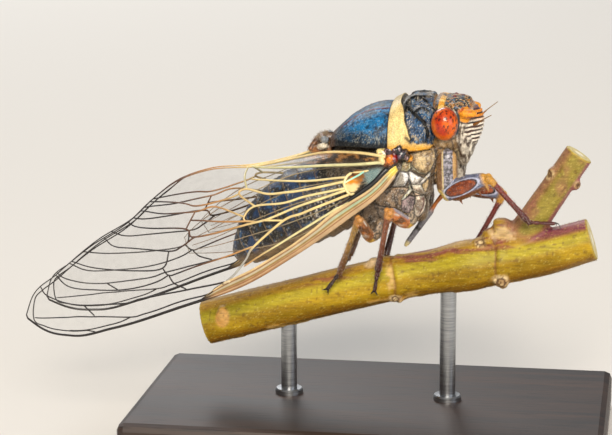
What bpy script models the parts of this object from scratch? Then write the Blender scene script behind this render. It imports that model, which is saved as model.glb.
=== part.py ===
"""A cicada at rest on a cut length of stem, on a plain display stand.

The insect stands head up on a sloping stem, at its real size of about 40 mm
from the front of the head to the wing tips. The world origin is the middle of
the underside of the base, +Z is up, +X is the way the head points and +Y is
the insect's left. Sizes below are in millimetres and are turned to metres
where a mesh is made. The wings and the abdomen are shaped along the body's own
axis, which leans back by BODY_PITCH; the head, the thorax and the legs are
shaped in upright sections.
"""

import math

import bmesh
import bpy
import numpy as np
from mathutils import Matrix, Vector
from mathutils.geometry import delaunay_2d_cdt

MM = 0.001
GAP = 0.3  # clear space between neighbouring pieces

BODY_PITCH = math.radians(28.0)
BODY_CENTRE = (1.2, 0.0, 22.0)  # middle of the thorax, origin of the body axis

# Head: (height, back, front, half width) of level sections, from the tip of
# the face up to the crown.
HEAD = (
    (20.75, 5.75, 6.45, 0.30),
    (21.3, 5.65, 6.85, 0.70),
    (22.2, 5.55, 7.25, 1.15),
    (23.2, 5.45, 7.5, 1.60),
    (24.2, 5.4, 7.8, 2.05),
    (25.2, 5.4, 8.0, 2.40),
    (26.2, 5.4, 8.05, 2.50),
    (27.0, 5.4, 8.0, 2.45),
    (27.6, 5.45, 7.65, 2.15),
    (27.95, 5.6, 7.2, 1.40),
)
# Swollen middle of the face: (along the profile x, z, half width, depth).
CLYPEUS = (
    (7.85, 27.25, 0.55, 0.25),
    (8.05, 26.75, 1.10, 0.50),
    (8.05, 26.0, 1.40, 0.60),
    (7.88, 25.2, 1.50, 0.65),
    (7.55, 24.3, 1.35, 0.62),
    (7.15, 23.4, 1.00, 0.50),
    (6.75, 22.6, 0.60, 0.30),
)
CLYPEUS_GROOVES = 9
EYE_CENTRE = (5.82, 3.25, 26.2)
EYE_RADII = (1.06, 1.10, 1.27)
EYE_BASE = 2.80  # distance of the flat inner side from the middle

ANTENNA_ROOT = (8.2, 2.2, 26.1)
ANTENNA_TIP = (9.45, 3.35, 27.0)

# Beak: (x, z, radius) from the face to the tip, along the middle.
ROSTRUM = (
    (5.62, 20.22, 0.25),
    (4.95, 19.3, 0.24),
    (4.55, 18.65, 0.32),
    (3.6, 17.3, 0.34),
    (2.75, 16.05, 0.30),
    (2.5, 15.7, 0.16),
)

# Upright sections: (x, half width, top, lower edge).
PRONOTUM = (
    (5.10, 2.60, 27.55, 24.95),
    (4.85, 3.20, 27.98, 24.55),
    (4.2, 3.60, 28.08, 24.25),
    (3.2, 3.95, 28.02, 24.05),
    (2.45, 4.10, 27.82, 23.95),
    (2.25, 4.30, 27.95, 23.85),
    (1.8, 4.50, 27.80, 23.8),
    (1.35, 4.45, 27.52, 24.0),
)
MESONOTUM = (
    (1.05, 4.05, 27.33, 24.55),
    (0.3, 4.12, 27.22, 24.55),
    (-0.9, 3.90, 26.75, 24.55),
    (-2.0, 3.35, 26.05, 24.5),
    (-2.8, 2.55, 25.3, 24.3),
    (-3.3, 1.90, 24.75, 23.95),
)
SCUTELLUM = (
    (-3.62, 1.35, 24.5, 23.1),
    (-4.1, 1.25, 24.4, 23.05),
    (-4.6, 0.95, 24.0, 23.0),
    (-5.0, 0.55, 23.5, 22.95),
)
# Lower thorax: (x, half width, top, underside).
THORAX = (
    (4.85, 2.3, 23.45, 21.9),
    (4.2, 2.75, 23.45, 20.2),
    (3.2, 3.1, 23.4, 18.8),
    (2.0, 3.25, 23.4, 18.1),
    (0.5, 3.25, 23.9, 17.7),
    (-1.0, 3.2, 23.9, 17.4),
    (-2.4, 2.9, 23.7, 17.4),
    (-3.6, 2.3, 22.4, 18.4),
    (-4.4, 1.6, 21.6, 19.6),
)
# Plates that swell from its side: (x, y, z), radii.
SIDE_PLATES = (
    ((4.1, 2.6, 22.9), (1.15, 0.75, 0.95)),
    ((2.5, 2.7, 21.75), (1.0, 0.75, 1.0)),
    ((4.0, 2.35, 21.2), (0.85, 0.75, 1.1)),
    ((1.5, 2.45, 19.95), (1.7, 0.85, 1.45)),
    ((3.7, 1.9, 19.5), (0.8, 0.85, 1.35)),
    ((-0.9, 2.25, 19.6), (1.35, 0.85, 1.6)),
    ((0.4, 1.8, 17.95), (0.95, 0.85, 0.95)),
)
THORAX_END = ((-4.1, 24.5), (-1.0, 17.0))  # line of the waist, seen from the side

# Abdomen along the body axis: (x, half width, top, underside).
ABDOMEN = (
    (-3.9, 3.0, 2.7, -2.6),
    (-4.8, 3.4, 3.05, -2.85),
    (-6.0, 3.6, 3.3, -2.9),
    (-7.6, 3.65, 3.45, -2.8),
    (-9.4, 3.45, 3.2, -2.65),
    (-11.2, 2.95, 2.6, -2.5),
    (-12.8, 2.2, 1.7, -2.2),
    (-14.0, 1.25, 0.6, -1.75),
    (-14.7, 0.45, -0.35, -1.2),
)
SEGMENTS = 7
SEGMENT_STEP = 0.12  # each ring of the abdomen overlaps the next by this much

# Forewing in its own frame: a runs from the hinge to the tip, h is square to
# it and up. Rows are (a, y, h).
WING_HINGE = (2.2, 0.0, 23.4)
WING_SLOPE = math.radians(25.67)
COSTA = (
    (0.0, -4.75, -0.65),
    (1.6, -5.2, -1.5),
    (5.2, -5.55, -2.45),
    (10.7, -5.7, -3.48),
    (15.4, -5.65, -3.98),
    (20.7, -5.4, -3.62),
    (26.8, -4.75, -3.05),
    (30.3, -4.3, -2.3),
    (32.7, -3.6, -0.65),
    (33.4, -3.2, 0.3),
)
MARGIN = (
    (0.0, -4.55, 0.15),
    (1.7, -4.25, 1.3),
    (3.2, -3.4, 1.95),
    (5.2, -2.2, 2.6),
    (7.8, -0.75, 3.0),
    (11.3, -0.35, 3.75),
    (15.0, -0.35, 5.05),
    (17.4, -0.35, 5.3),
    (20.5, -0.5, 4.7),
    (22.7, -0.8, 3.95),
    (26.6, -1.4, 3.4),
    (29.9, -2.1, 2.55),
    (32.5, -2.8, 1.65),
    (33.4, -3.1, 0.65),
)
VAULT = (
    (0.0, 0.0),
    (2.0, 0.3),
    (5.0, 1.1),
    (8.0, 2.0),
    (12.0, 2.15),
    (16.0, 1.5),
    (20.0, 0.9),
    (26.0, 0.5),
    (33.4, 0.05),
)
WING_THICK = 0.5
# Veins: half width of the ridge, then places (a, v), v from costa 0 to inner
# margin 1. Names follow the usual ones for a cicada's forewing.
VEINS = {
    "R": (0.3, ((1.2, 0.36), (2.1, 0.25), (4.3, 0.18), (8.6, 0.13), (13.0, 0.12), (16.9, 0.07))),
    "basal_cell": (0.28, ((3.0, 0.58), (3.0, 0.40), (4.0, 0.25), (4.4, 0.34), (4.2, 0.45), (3.5, 0.57))),
    "M1_2": (0.2, ((4.3, 0.24), (8.0, 0.24), (9.9, 0.26), (13.0, 0.20), (16.9, 0.07))),
    "M3_4": (0.2, ((4.4, 0.31), (8.0, 0.31), (11.4, 0.34), (12.8, 0.40), (14.5, 0.47), (16.9, 0.59))),
    "M_cross": (0.18, ((9.9, 0.26), (11.4, 0.34))),
    "M4": (0.2, ((4.4, 0.34), (7.7, 0.38), (9.4, 0.40), (11.7, 0.49), (12.8, 0.44), (12.8, 0.40))),
    "M4_outer": (0.18, ((12.8, 0.44), (14.9, 0.62), (16.7, 0.65), (19.4, 0.78), (21.6, 1.0))),
    "M3": (0.2, ((11.4, 0.34), (13.3, 0.38), (17.4, 0.46), (17.9, 0.55), (20.7, 0.73), (22.2, 0.88), (22.9, 1.0))),
    "M3_cross": (0.18, ((17.9, 0.55), (16.7, 0.65))),
    "M2": (0.18, ((17.4, 0.46), (18.7, 0.44), (19.9, 0.46), (22.8, 0.69), (24.5, 0.84), (25.2, 1.0))),
    "M1": (0.18, ((19.9, 0.46), (20.9, 0.36), (23.3, 0.48), (26.6, 0.73), (28.4, 1.0))),
    "CuA": (0.2, ((4.3, 0.44), (7.5, 0.45), (9.2, 0.50), (10.5, 0.56), (12.0, 0.69), (12.7, 0.66), (11.7, 0.49))),
    "CuA1": (0.18, ((12.7, 0.66), (13.9, 0.65), (16.4, 0.69), (17.6, 0.77), (20.6, 1.0))),
    "CuA2": (0.18, ((12.0, 0.69), (12.1, 0.85), (11.9, 1.0))),
    "CuP": (0.18, ((4.0, 0.50), (7.7, 0.57), (11.6, 0.80))),
    "A1": (0.2, ((1.6, 0.74), (5.3, 0.74), (8.3, 0.81), (11.7, 1.0))),
    "RP": (0.18, ((13.0, 0.20), (15.9, 0.23), (19.6, 0.26), (20.6, 0.28), (20.9, 0.36))),
    "RP_outer": (0.18, ((20.6, 0.28), (21.9, 0.28), (24.9, 0.36), (27.5, 0.52), (29.2, 0.72), (30.0, 1.0))),
    "RP_cross": (0.18, ((20.6, 0.28), (20.5, 0.22), (19.8, 0.15))),
    "RA1": (0.18, ((16.9, 0.07), (18.5, 0.10), (21.0, 0.16), (25.1, 0.22), (28.4, 0.38), (31.0, 0.72), (31.5, 1.0))),
    "RA_cross": (0.18, ((28.4, 0.38), (27.8, 0.20))),
    "RA2": (0.18, ((24.0, 0.0), (24.9, 0.07), (27.8, 0.20), (30.5, 0.31), (33.0, 0.45))),
}
VEIN_HEIGHT = 0.22
RIM_HEIGHT, RIM_WIDTH = 0.12, 0.5
# Upper edge, as v, of the stiff leading band of costa, subcosta and radius.
COSTAL_BAND = ((0.0, 0.5), (2.1, 0.25), (4.3, 0.18), (8.6, 0.13), (13.0, 0.12), (16.9, 0.07))
HINDWING_REACH = 18.5
HINDWING_DROP = 0.86  # forewing's middle surface to the hindwing's

# Legs of one side: root, knee, end of tibia, end of tarsus, all as (x, y, z)
# with y away from the middle, then radii of coxa, femur and tibia.
LEGS = {
    "foreleg": (
        (6.0, 2.75, 23.3),
        (6.05, 2.8, 20.5),
        (9.33, 4.0, 22.2),
        (12.46, 2.35, 18.4),
        (14.4, 1.1, 18.1),
        (0.72, 0.86, 0.27),
    ),
    "midleg": (
        (3.9, 1.9, 20.2),
        (2.95, 2.3, 17.9),
        (1.7, 5.0, 19.45),
        (0.55, 2.6, 13.9),
        (0.3, 2.3, 12.4),
        (0.8, 0.55, 0.27),
    ),
    "hindleg": (
        (1.05, 2.1, 18.35),
        (0.0, 2.6, 16.65),
        (-0.65, 5.0, 18.8),
        (-2.46, 2.6, 13.9),
        (-3.5, 2.3, 12.4),
        (0.75, 0.5, 0.27),
    ),
}
# The left foreleg holds the far flank of the stem: knee, end of tibia, end of tarsus.
FORELEG_LEFT = ((10.05, 3.6, 19.45), (7.6, 2.85, 14.8), (6.8, 2.5, 13.5))
FEMUR_SPINES = ((0.2, 0.45), (0.68, 0.42), (0.86, 0.3))  # place along the fore femur, length

# Stem: (x, middle of its height, radius), and its side shoot.
STEM = (
    (-13.9, 8.62, 1.86),
    (-10.0, 9.75, 1.86),
    (-6.0, 10.88, 1.84),
    (-1.5, 12.15, 1.86),
    (1.3, 12.88, 1.84),
    (5.2, 13.72, 1.88),
    (7.6, 14.22, 2.12),
    (9.6, 14.62, 1.92),
    (13.3, 15.42, 1.86),
    (17.4, 16.72, 1.72),
)
SHOOT = ((10.9, 15.3, 1.55), (12.7, 18.1, 1.32), (14.6, 21.1, 1.22), (16.2, 23.6, 1.2))
# Buds and leaf scars that stand out a little: (x, y, z), radii.
STEM_KNOBS = (
    ((-12.2, -1.55, 9.25), (0.8, 0.45, 0.55)),
    ((10.4, -1.15, 13.4), (0.55, 0.6, 0.55)),
    ((1.9, -0.85, 11.6), (0.7, 0.5, 0.45)),
    ((8.6, -0.5, 16.3), (0.75, 0.7, 0.45)),
    ((14.2, -0.35, 22.0), (0.5, 0.55, 0.6)),
    ((15.9, -0.3, 21.2), (0.5, 0.5, 0.6)),
)
BASE_SIZE = (38.0, 22.0, 3.0)
BASE_BEVEL = 0.6
ROD_RADIUS = 0.65
RODS_AT = {"stand_rod_rear": -7.0, "stand_rod_front": 6.0}

MATERIALS = {  # colour as sRGB hex, roughness
    "cuticle_blue": ("2F5E80", 0.35),
    "cuticle_dark": ("2A2F38", 0.4),
    "cuticle_cream": ("E9C988", 0.4),
    "cuticle_grey": ("8E8170", 0.6),
    "cuticle_brown": ("7A4A2C", 0.45),
    "eye_red": ("C9401E", 0.2),
    "wing_membrane": ("B8A98A", 0.25),
    "leg_tan": ("A0714A", 0.5),
    "bark_green": ("9C9A35", 0.6),
    "painted_wood": ("3A3633", 0.5),
    "steel": ("8F9296", 0.35),
}


def hermite(rows):
    """Return a smooth function through rows of (place, value, ...), flat at each crest."""
    table = np.array(rows, float)
    places, values = table[:, 0], table[:, 1:]
    steps = np.diff(places)
    rises = np.diff(values, axis=0) / steps[:, None]
    slopes = np.zeros_like(values)
    slopes[0], slopes[-1] = rises[0], rises[-1]
    for i in range(1, len(places) - 1):
        mean = (rises[i - 1] * steps[i] + rises[i] * steps[i - 1]) / (
            steps[i - 1] + steps[i]
        )
        slopes[i] = np.where(rises[i - 1] * rises[i] > 0, mean, 0.0)

    def at(place):
        place = min(max(place, places[0]), places[-1])
        i = min(int(np.searchsorted(places, place, side="right")) - 1, len(steps) - 1)
        t = (place - places[i]) / steps[i]
        return (
            values[i] * (1 + 2 * t) * (1 - t) ** 2
            + slopes[i] * steps[i] * t * (1 - t) ** 2
            + values[i + 1] * t * t * (3 - 2 * t)
            + slopes[i + 1] * steps[i] * t * t * (t - 1)
        )

    return at


def material(name):
    if name in bpy.data.materials:
        return bpy.data.materials[name]
    code, rough = MATERIALS[name]
    made = bpy.data.materials.new(name)
    made.use_nodes = True
    shader = made.node_tree.nodes["Principled BSDF"]
    channels = [int(code[i : i + 2], 16) / 255 for i in (0, 2, 4)]
    linear = [c / 12.92 if c <= 0.04045 else ((c + 0.055) / 1.055) ** 2.4 for c in channels]
    shader.inputs["Base Color"].default_value = (*linear, 1.0)
    shader.inputs["Roughness"].default_value = rough
    shader.inputs["Metallic"].default_value = 1.0 if name == "steel" else 0.0
    return made


def solid(name, bm, finish, origin=(0.0, 0.0, 0.0), parent=None, helper=False):
    """Make an object of a closed bmesh in millimetres, with its origin at the given point."""
    bmesh.ops.remove_doubles(bm, verts=bm.verts, dist=1e-4)
    bmesh.ops.dissolve_degenerate(bm, edges=bm.edges, dist=1e-4)
    bmesh.ops.recalc_face_normals(bm, faces=bm.faces)
    if bm.calc_volume(signed=True) < 0:
        bmesh.ops.reverse_faces(bm, faces=bm.faces)
    bmesh.ops.translate(bm, verts=bm.verts, vec=-Vector(origin))
    bmesh.ops.scale(bm, verts=bm.verts, vec=(MM, MM, MM))
    mesh = bpy.data.meshes.new(name)
    bm.to_mesh(mesh)
    bm.free()
    mesh.materials.append(material(finish))
    mesh.shade_smooth()
    mesh.set_sharp_from_angle(angle=math.radians(40))
    made = bpy.data.objects.new(name, mesh)
    made.location = Vector(origin) * MM
    made.parent = parent
    bpy.context.scene.collection.objects.link(made)
    if helper:
        made.hide_render = True
        made.display_type = "WIRE"
    return made


def rings_to_bmesh(rings, tips=(None, None)):
    """Join rings of equally many points into one closed skin, with a point or a flat cap at each end."""
    bm = bmesh.new()
    loops = [[bm.verts.new(p) for p in ring] for ring in rings]
    count = len(loops[0])
    for low, high in zip(loops, loops[1:]):
        for i in range(count):
            j = (i + 1) % count
            bm.faces.new((low[i], low[j], high[j], high[i]))
    for loop, tip in ((loops[0], tips[0]), (loops[-1], tips[1])):
        if tip is None:
            middle = sum((v.co for v in loop), Vector()) / count
            tip = middle
        centre = bm.verts.new(tip)
        for i in range(count):
            bm.faces.new((loop[i], loop[(i + 1) % count], centre))
    return bm


def section(half, top, low, waist=0.5, upper=2.2, lower=2.2, sides=18):
    """Outline of an upright section as (across, up) pairs, widest at the given part of its height."""
    middle = low + (top - low) * waist
    points = []
    for k in range(sides):
        t = 2 * math.pi * (k + 0.5) / sides
        power = upper if math.sin(t) > 0 else lower
        reach = top - middle if math.sin(t) > 0 else middle - low
        across = math.copysign(abs(math.cos(t)) ** (2 / power), math.cos(t))
        up = math.copysign(abs(math.sin(t)) ** (2 / power), math.sin(t))
        points.append((half * across, middle + reach * up))
    return points


def along_x(rows, count, shape, ease=0.0):
    """Rings square to X through rows of (x, half width, top, low)."""
    at = hermite(sorted(rows))
    first, last = rows[0][0], rows[-1][0]
    rings = []
    for i in range(count):
        t = i / (count - 1)
        t = t - ease * math.sin(2 * math.pi * t) / (2 * math.pi)
        x = first + (last - first) * t
        half, top, low = at(x)
        rings.append([Vector((x, y, z)) for y, z in shape(x, half, top, low)])
    return rings


def tube(points, radii, sides=8, flat=1.0, up=(0, 0, 1)):
    """Rings of a round or flattened tube along a line of points."""
    points = [Vector(p) for p in points]
    rings = []
    side = None
    for i, point in enumerate(points):
        back, ahead = points[max(i - 1, 0)], points[min(i + 1, len(points) - 1)]
        along = (ahead - back).normalized()
        reference = Vector(up) if side is None else side
        lift = (reference - along * reference.dot(along)).normalized()
        side = lift
        across = along.cross(lift)
        rings.append(
            [
                point
                + across * radii[i] * flat * math.cos(2 * math.pi * k / sides)
                + lift * radii[i] * math.sin(2 * math.pi * k / sides)
                for k in range(sides)
            ]
        )
    return rings


def ball(centre, radii, across=12, high=7, power=2.0):
    """Closed ellipsoid; a power over 2 flattens it towards a rounded block."""
    bm = bmesh.new()
    bmesh.ops.create_uvsphere(bm, u_segments=across, v_segments=high, radius=1.0)
    for vert in bm.verts:
        vert.co /= sum(abs(c) ** power for c in vert.co) ** (1 / power)
    bmesh.ops.scale(bm, verts=bm.verts, vec=Vector(radii))
    bmesh.ops.translate(bm, verts=bm.verts, vec=Vector(centre))
    return bm


def keep_side(bm, point, normal):
    """Cut a closed bmesh by a plane, drop what lies on the normal's side, and close the cut."""
    geometry = bm.verts[:] + bm.edges[:] + bm.faces[:]
    bmesh.ops.bisect_plane(
        bm, geom=geometry, plane_co=Vector(point), plane_no=Vector(normal), clear_outer=True
    )
    rim = [edge for edge in bm.edges if edge.is_boundary]
    bmesh.ops.contextual_create(bm, geom=rim)
    return bm


def mirrored(bm):
    """A copy of the bmesh on the other side of the body."""
    other = bm.copy()
    bmesh.ops.scale(other, verts=other.verts, vec=(1, -1, 1))
    bmesh.ops.reverse_faces(other, faces=other.faces)
    return other


def largest_surface(obj):
    """Keep only the biggest closed surface of a mesh."""
    bm = bmesh.new()
    bm.from_mesh(obj.data)
    left = set(bm.faces)
    groups = []
    while left:
        group, front = [], [left.pop()]
        while front:
            face = front.pop()
            group.append(face)
            for edge in face.edges:
                for other in edge.link_faces:
                    if other in left:
                        left.discard(other)
                        front.append(other)
        groups.append(group)
    groups.sort(key=len)
    for group in groups[:-1]:
        bmesh.ops.delete(bm, geom=group, context="FACES")
    bm.to_mesh(obj.data)
    bm.free()


def fuse(name, pieces, finish, origin=(0.0, 0.0, 0.0), parent=None):
    """Join closed bmeshes into one solid by one union of the first with all the others."""
    first = solid(name, pieces[0], finish, origin)
    group = bpy.data.collections.new(name + "_pieces")
    bpy.context.scene.collection.children.link(group)
    for i, piece in enumerate(pieces[1:]):
        helper = solid(f"{name}_piece_{i}", piece, finish, origin, helper=True)
        bpy.context.scene.collection.objects.unlink(helper)
        group.objects.link(helper)
    union = first.modifiers.new("Join", "BOOLEAN")
    union.operation = "UNION"
    union.solver = "EXACT"
    union.operand_type = "COLLECTION"
    union.collection = group
    union.use_self = True
    graph = bpy.context.evaluated_depsgraph_get()
    joined = bpy.data.meshes.new_from_object(first.evaluated_get(graph))
    first.modifiers.clear()
    old, first.data = first.data, joined
    bpy.data.meshes.remove(old)
    joined.name = name
    for helper in list(group.objects):
        mesh = helper.data
        bpy.data.objects.remove(helper)
        bpy.data.meshes.remove(mesh)
    bpy.data.collections.remove(group)
    largest_surface(first)
    first.parent = parent
    return first


# ---------------------------------------------------------------- head


def head_section(z, back, front, half, sides=20):
    """Level section of the head: flat behind, rounded in front."""
    return [
        Vector((up, across, z))
        for across, up in section(half, front, back, waist=0.35, upper=2.3, lower=4.0, sides=sides)
    ]


def head_rings(count=12):
    at = hermite(HEAD)
    low, high = HEAD[0][0], HEAD[-1][0]
    rings = []
    for i in range(count):
        z = low + (high - low) * (i / (count - 1))
        back, front, half = at(z)
        rings.append(head_section(z, back, front, half))
    return rings


def clypeus_rings(count=28, sides=12):
    """The swollen, cross-grooved plate of the face as level half-round sections."""
    rows = [(-z, x, half, depth) for x, z, half, depth in CLYPEUS]
    at = hermite(rows)
    first, last = rows[0][0], rows[-1][0]
    rings = []
    for i in range(count):
        t = i / (count - 1)
        place = first + (last - first) * t
        x, half, depth = at(place)
        wave = 0.5 - 0.5 * math.cos(2 * math.pi * CLYPEUS_GROOVES * min(t / 0.9, 1.0))
        grow = 1.0 + 0.09 * wave
        rings.append(
            [
                Vector(
                    (
                        x - 0.6 + (0.6 + depth) * grow * math.sin(math.pi * k / (sides - 1))
                        if 0 < k < sides - 1
                        else x - 0.6,
                        half * grow * math.cos(math.pi * k / (sides - 1)),
                        -place,
                    )
                )
                for k in range(sides)
            ]
        )
    return rings


def build_head():
    skull = rings_to_bmesh(head_rings(), tips=((6.05, 0, 20.55), (6.35, 0, 28.1)))
    pieces = [skull, rings_to_bmesh(clypeus_rings())]
    for side in (-1, 1):
        pieces.append(ball((7.55, 1.75 * side, 26.75), (0.85, 0.75, 0.42), 10, 6))
        pieces.append(ball((7.3, 1.5 * side, 24.3), (0.55, 0.6, 1.5), 10, 6))
        pieces.append(ball((6.5, 2.0 * side, 27.5), (0.28, 0.28, 0.22), 8, 5))
    fuse("head", pieces, "cuticle_grey", (6.4, 0, 25.5))


def build_eyes():
    for name, side in (("eye_right", -1), ("eye_left", 1)):
        x, y, z = EYE_CENTRE
        bm = ball((x, y * side, z), EYE_RADII, 16, 10)
        keep_side(bm, (0, EYE_BASE * side, 0), (0, -side, 0))
        solid(name, bm, "eye_red", (x, y * side, z))


def build_antennae():
    for name, side in (("antenna_right", -1), ("antenna_left", 1)):
        root, tip = Vector(ANTENNA_ROOT), Vector(ANTENNA_TIP)
        root.y *= side
        tip.y *= side
        points = [root.lerp(tip, t) for t in (0.0, 0.18, 0.3, 0.65, 1.0)]
        points[3].z += 0.1
        rings = tube(points, (0.24, 0.24, 0.16, 0.09, 0.04), 7)
        solid(name, rings_to_bmesh(rings), "cuticle_dark", root)


def build_rostrum():
    points = [(x, 0, z) for x, z, _ in ROSTRUM]
    rings = tube(points, [r for _, _, r in ROSTRUM], 9, up=(1, 0, 0))
    solid("rostrum", rings_to_bmesh(rings), "cuticle_grey", points[0])


# -------------------------------------------------------------- thorax


def dome(x, half, top, low, sides=20):
    return section(half, top, low, waist=0.1, upper=2.5, lower=3.5, sides=sides)


def barrel(x, half, top, low, sides=18):
    return section(half, top, low, waist=0.62, upper=3.4, lower=2.2, sides=sides)


def oval(x, half, top, low, sides=18):
    return section(half, top, low, waist=0.48, upper=2.1, lower=2.2, sides=sides)


def build_back():
    rings = along_x(PRONOTUM, 13, dome)
    pronotum = solid("pronotum", rings_to_bmesh(rings), "cuticle_dark", (3.0, 0, 25.5))
    x, y, z = EYE_CENTRE
    room = [r + GAP for r in EYE_RADII]
    carve(pronotum, [ball((x, y * side, z), room, 14, 9) for side in (-1, 1)])
    rings = along_x(MESONOTUM, 10, dome)
    solid("mesonotum", rings_to_bmesh(rings), "cuticle_blue", (-1.0, 0, 25.0))
    pieces = [rings_to_bmesh(along_x(SCUTELLUM, 5, lambda *a: dome(*a, sides=12)))]
    for side in (-1, 1):
        arm = tube(
            [(-3.95, 1.3 * side, 24.1), (-4.15, 0.55 * side, 24.42), (-4.4, -0.05 * side, 24.35),
             (-4.75, -0.5 * side, 24.0), (-5.15, -0.85 * side, 23.5)],
            (0.28, 0.32, 0.34, 0.3, 0.2), 7,
        )
        pieces.append(rings_to_bmesh(arm))
    fuse("scutellum", pieces, "cuticle_brown", (-4.3, 0, 23.8))


def waist_plane(shift):
    """Point and rearward normal of the plane between thorax and abdomen, moved rearwards by shift."""
    (x0, z0), (x1, z1) = THORAX_END
    normal = Vector((z1 - z0, 0, -(x1 - x0))).normalized()
    return Vector((x0, 0, z0)) + normal * shift, normal


def build_thorax():
    pieces = [rings_to_bmesh(along_x(THORAX, 11, barrel))]
    for (x, y, z), radii in SIDE_PLATES:
        for side in (-1, 1):
            pieces.append(ball((x, y * side, z), radii, 12, 8, power=3.2))
    point, normal = waist_plane(-GAP / 2)
    pieces = [keep_side(bm, point, normal) if crosses(bm, point, normal) else bm for bm in pieces]
    thorax = fuse("thorax", pieces, "cuticle_grey", (1.0, 0, 20.5))
    sockets = []
    for kind in LEGS:
        for side in (-1, 1):
            sockets += leg_pieces(kind, side, grow=GAP)[:2]
    carve(thorax, sockets)


def carve(obj, cutters):
    """Cut closed bmeshes, in world millimetres, out of an object that has no rotation."""
    group = bpy.data.collections.new(obj.name + "_cutters")
    bpy.context.scene.collection.children.link(group)
    for i, cutter in enumerate(cutters):
        helper = solid(f"{obj.name}_cutter_{i}", cutter, "cuticle_grey", origin=(0, 0, 0), helper=True)
        bpy.context.scene.collection.objects.unlink(helper)
        group.objects.link(helper)
    cut = obj.modifiers.new("Pockets", "BOOLEAN")
    cut.operation = "DIFFERENCE"
    cut.solver = "MANIFOLD"  # EXACT leaves open edges where two sockets meet
    cut.operand_type = "COLLECTION"
    cut.collection = group
    graph = bpy.context.evaluated_depsgraph_get()
    left = bpy.data.meshes.new_from_object(obj.evaluated_get(graph))
    obj.modifiers.clear()
    old, obj.data = obj.data, left
    bpy.data.meshes.remove(old)
    left.name = obj.name
    for helper in list(group.objects):
        mesh = helper.data
        bpy.data.objects.remove(helper)
        bpy.data.meshes.remove(mesh)
    bpy.data.collections.remove(group)
    largest_surface(obj)


def crosses(bm, point, normal):
    return any((v.co - point).dot(normal) > 0 for v in bm.verts)


def to_body(point):
    """World millimetres to the frame of the body axis."""
    turn = Matrix.Rotation(BODY_PITCH, 3, "Y")
    return turn @ (Vector(point) - Vector(BODY_CENTRE))


def abdomen_rings(count=29, sides=18):
    at = hermite(sorted(ABDOMEN))
    first, last = ABDOMEN[0][0], ABDOMEN[-1][0]
    length = (first - last) / SEGMENTS
    rings = []
    for i in range(count):
        x = first + (last - first) * i / (count - 1)
        half, top, low = at(x)
        part = ((first - x) / length) % 1.0
        swell = SEGMENT_STEP * (part - 0.5) if 0 < i < count - 1 else -SEGMENT_STEP / 2
        swell *= min(1.0, half)
        rings.append(
            [
                Vector((x, y, z))
                for y, z in oval(x, half + swell, top + swell, low - swell, sides)
            ]
        )
    return rings


def build_abdomen(axis):
    bm = rings_to_bmesh(abdomen_rings())
    point, normal = waist_plane(GAP / 2)
    turn = Matrix.Rotation(BODY_PITCH, 3, "Y")
    keep_side(bm, to_body(point), -(turn @ normal))
    solid("abdomen", bm, "cuticle_dark", (-8.0, 0, 0), axis)


# --------------------------------------------------------------- wings

costa_at, margin_at, vault_at = hermite(COSTA), hermite(MARGIN), hermite(VAULT)
band_at = hermite(COSTAL_BAND)
WING_LENGTH = COSTA[-1][0]


def wing_point(a, v, drop=0.0):
    """World point of the right forewing's middle surface, at a along it and v of the way from costa to inner margin."""
    y0, h0 = costa_at(a)
    y1, h1 = margin_at(a)
    chord = Vector((y1 - y0, h1 - h0))
    normal = Vector((-chord.y, chord.x)).normalized()
    lift = vault_at(a)[0] * 4 * v * (1 - v) - drop
    y = y0 + chord.x * v + normal.x * lift
    h = h0 + chord.y * v + normal.y * lift
    x = WING_HINGE[0] - math.cos(WING_SLOPE) * a - math.sin(WING_SLOPE) * h
    z = WING_HINGE[2] - math.sin(WING_SLOPE) * a + math.cos(WING_SLOPE) * h
    return Vector((x, y, z))


def wing_normal(a, v):
    e = 0.01
    a0, a1 = max(a - 0.2, 0.0), min(a + 0.2, WING_LENGTH)
    v0, v1 = max(v - e, 0.0), min(v + e, 1.0)
    along = wing_point(a1, v) - wing_point(a0, v)
    across = wing_point(a, v1) - wing_point(a, v0)
    normal = along.cross(across)
    if normal.length < 1e-9:
        return Vector((0, -1, 0))
    normal.normalize()
    return normal if normal.y < 0 else -normal


def sheet_bmesh(places, triangles, outline, lifts, half, drop=0.0):
    """Slab along the wing's surface: the same triangles on both faces, joined by a rim."""
    bm = bmesh.new()
    upper, lower = [], []
    for (a, v), lift in zip(places, lifts):
        point, normal = wing_point(a, v), wing_normal(a, v)
        upper.append(bm.verts.new(point + normal * (half + lift - drop)))
        lower.append(bm.verts.new(point - normal * (half + drop)))
    for i, j, k in triangles:
        bm.faces.new((upper[i], upper[j], upper[k]))
        bm.faces.new((lower[k], lower[j], lower[i]))
    for i, j in outline:
        bm.faces.new((upper[i], lower[i], lower[j]))
        bm.faces.new((upper[i], lower[j], upper[j]))
    return bm


def wing_stations(count, length=WING_LENGTH, start=0.0):
    """Places along the wing, closer together towards the round tip."""
    return [start + (length - start) * math.sin(0.5 * math.pi * i / (count - 1)) for i in range(count)]


def wing_grid(stations, columns, low=0.0, high=1.0):
    """(a, v) places of a grid, its triangles and its outline."""
    places = [(a, low + (high - low) * j / (columns - 1)) for a in stations for j in range(columns)]
    triangles, outline = [], []
    rows = len(stations)
    for i in range(rows - 1):
        for j in range(columns - 1):
            p = i * columns + j
            q = p + columns
            triangles += [(p, q, q + 1), (p, q + 1, p + 1)]
    border = [j for j in range(columns)]
    border += [i * columns + columns - 1 for i in range(1, rows)]
    border += [(rows - 1) * columns + j for j in range(columns - 2, -1, -1)]
    border += [i * columns for i in range(rows - 2, 0, -1)]
    outline = [(border[i], border[(i + 1) % len(border)]) for i in range(len(border))]
    return places, triangles, outline


def wing_width(a):
    """Length of the section's arc at a, from costa to inner margin."""
    points = [wing_point(a, k / 8) for k in range(9)]
    return sum((q - p).length for p, q in zip(points, points[1:]))


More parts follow.
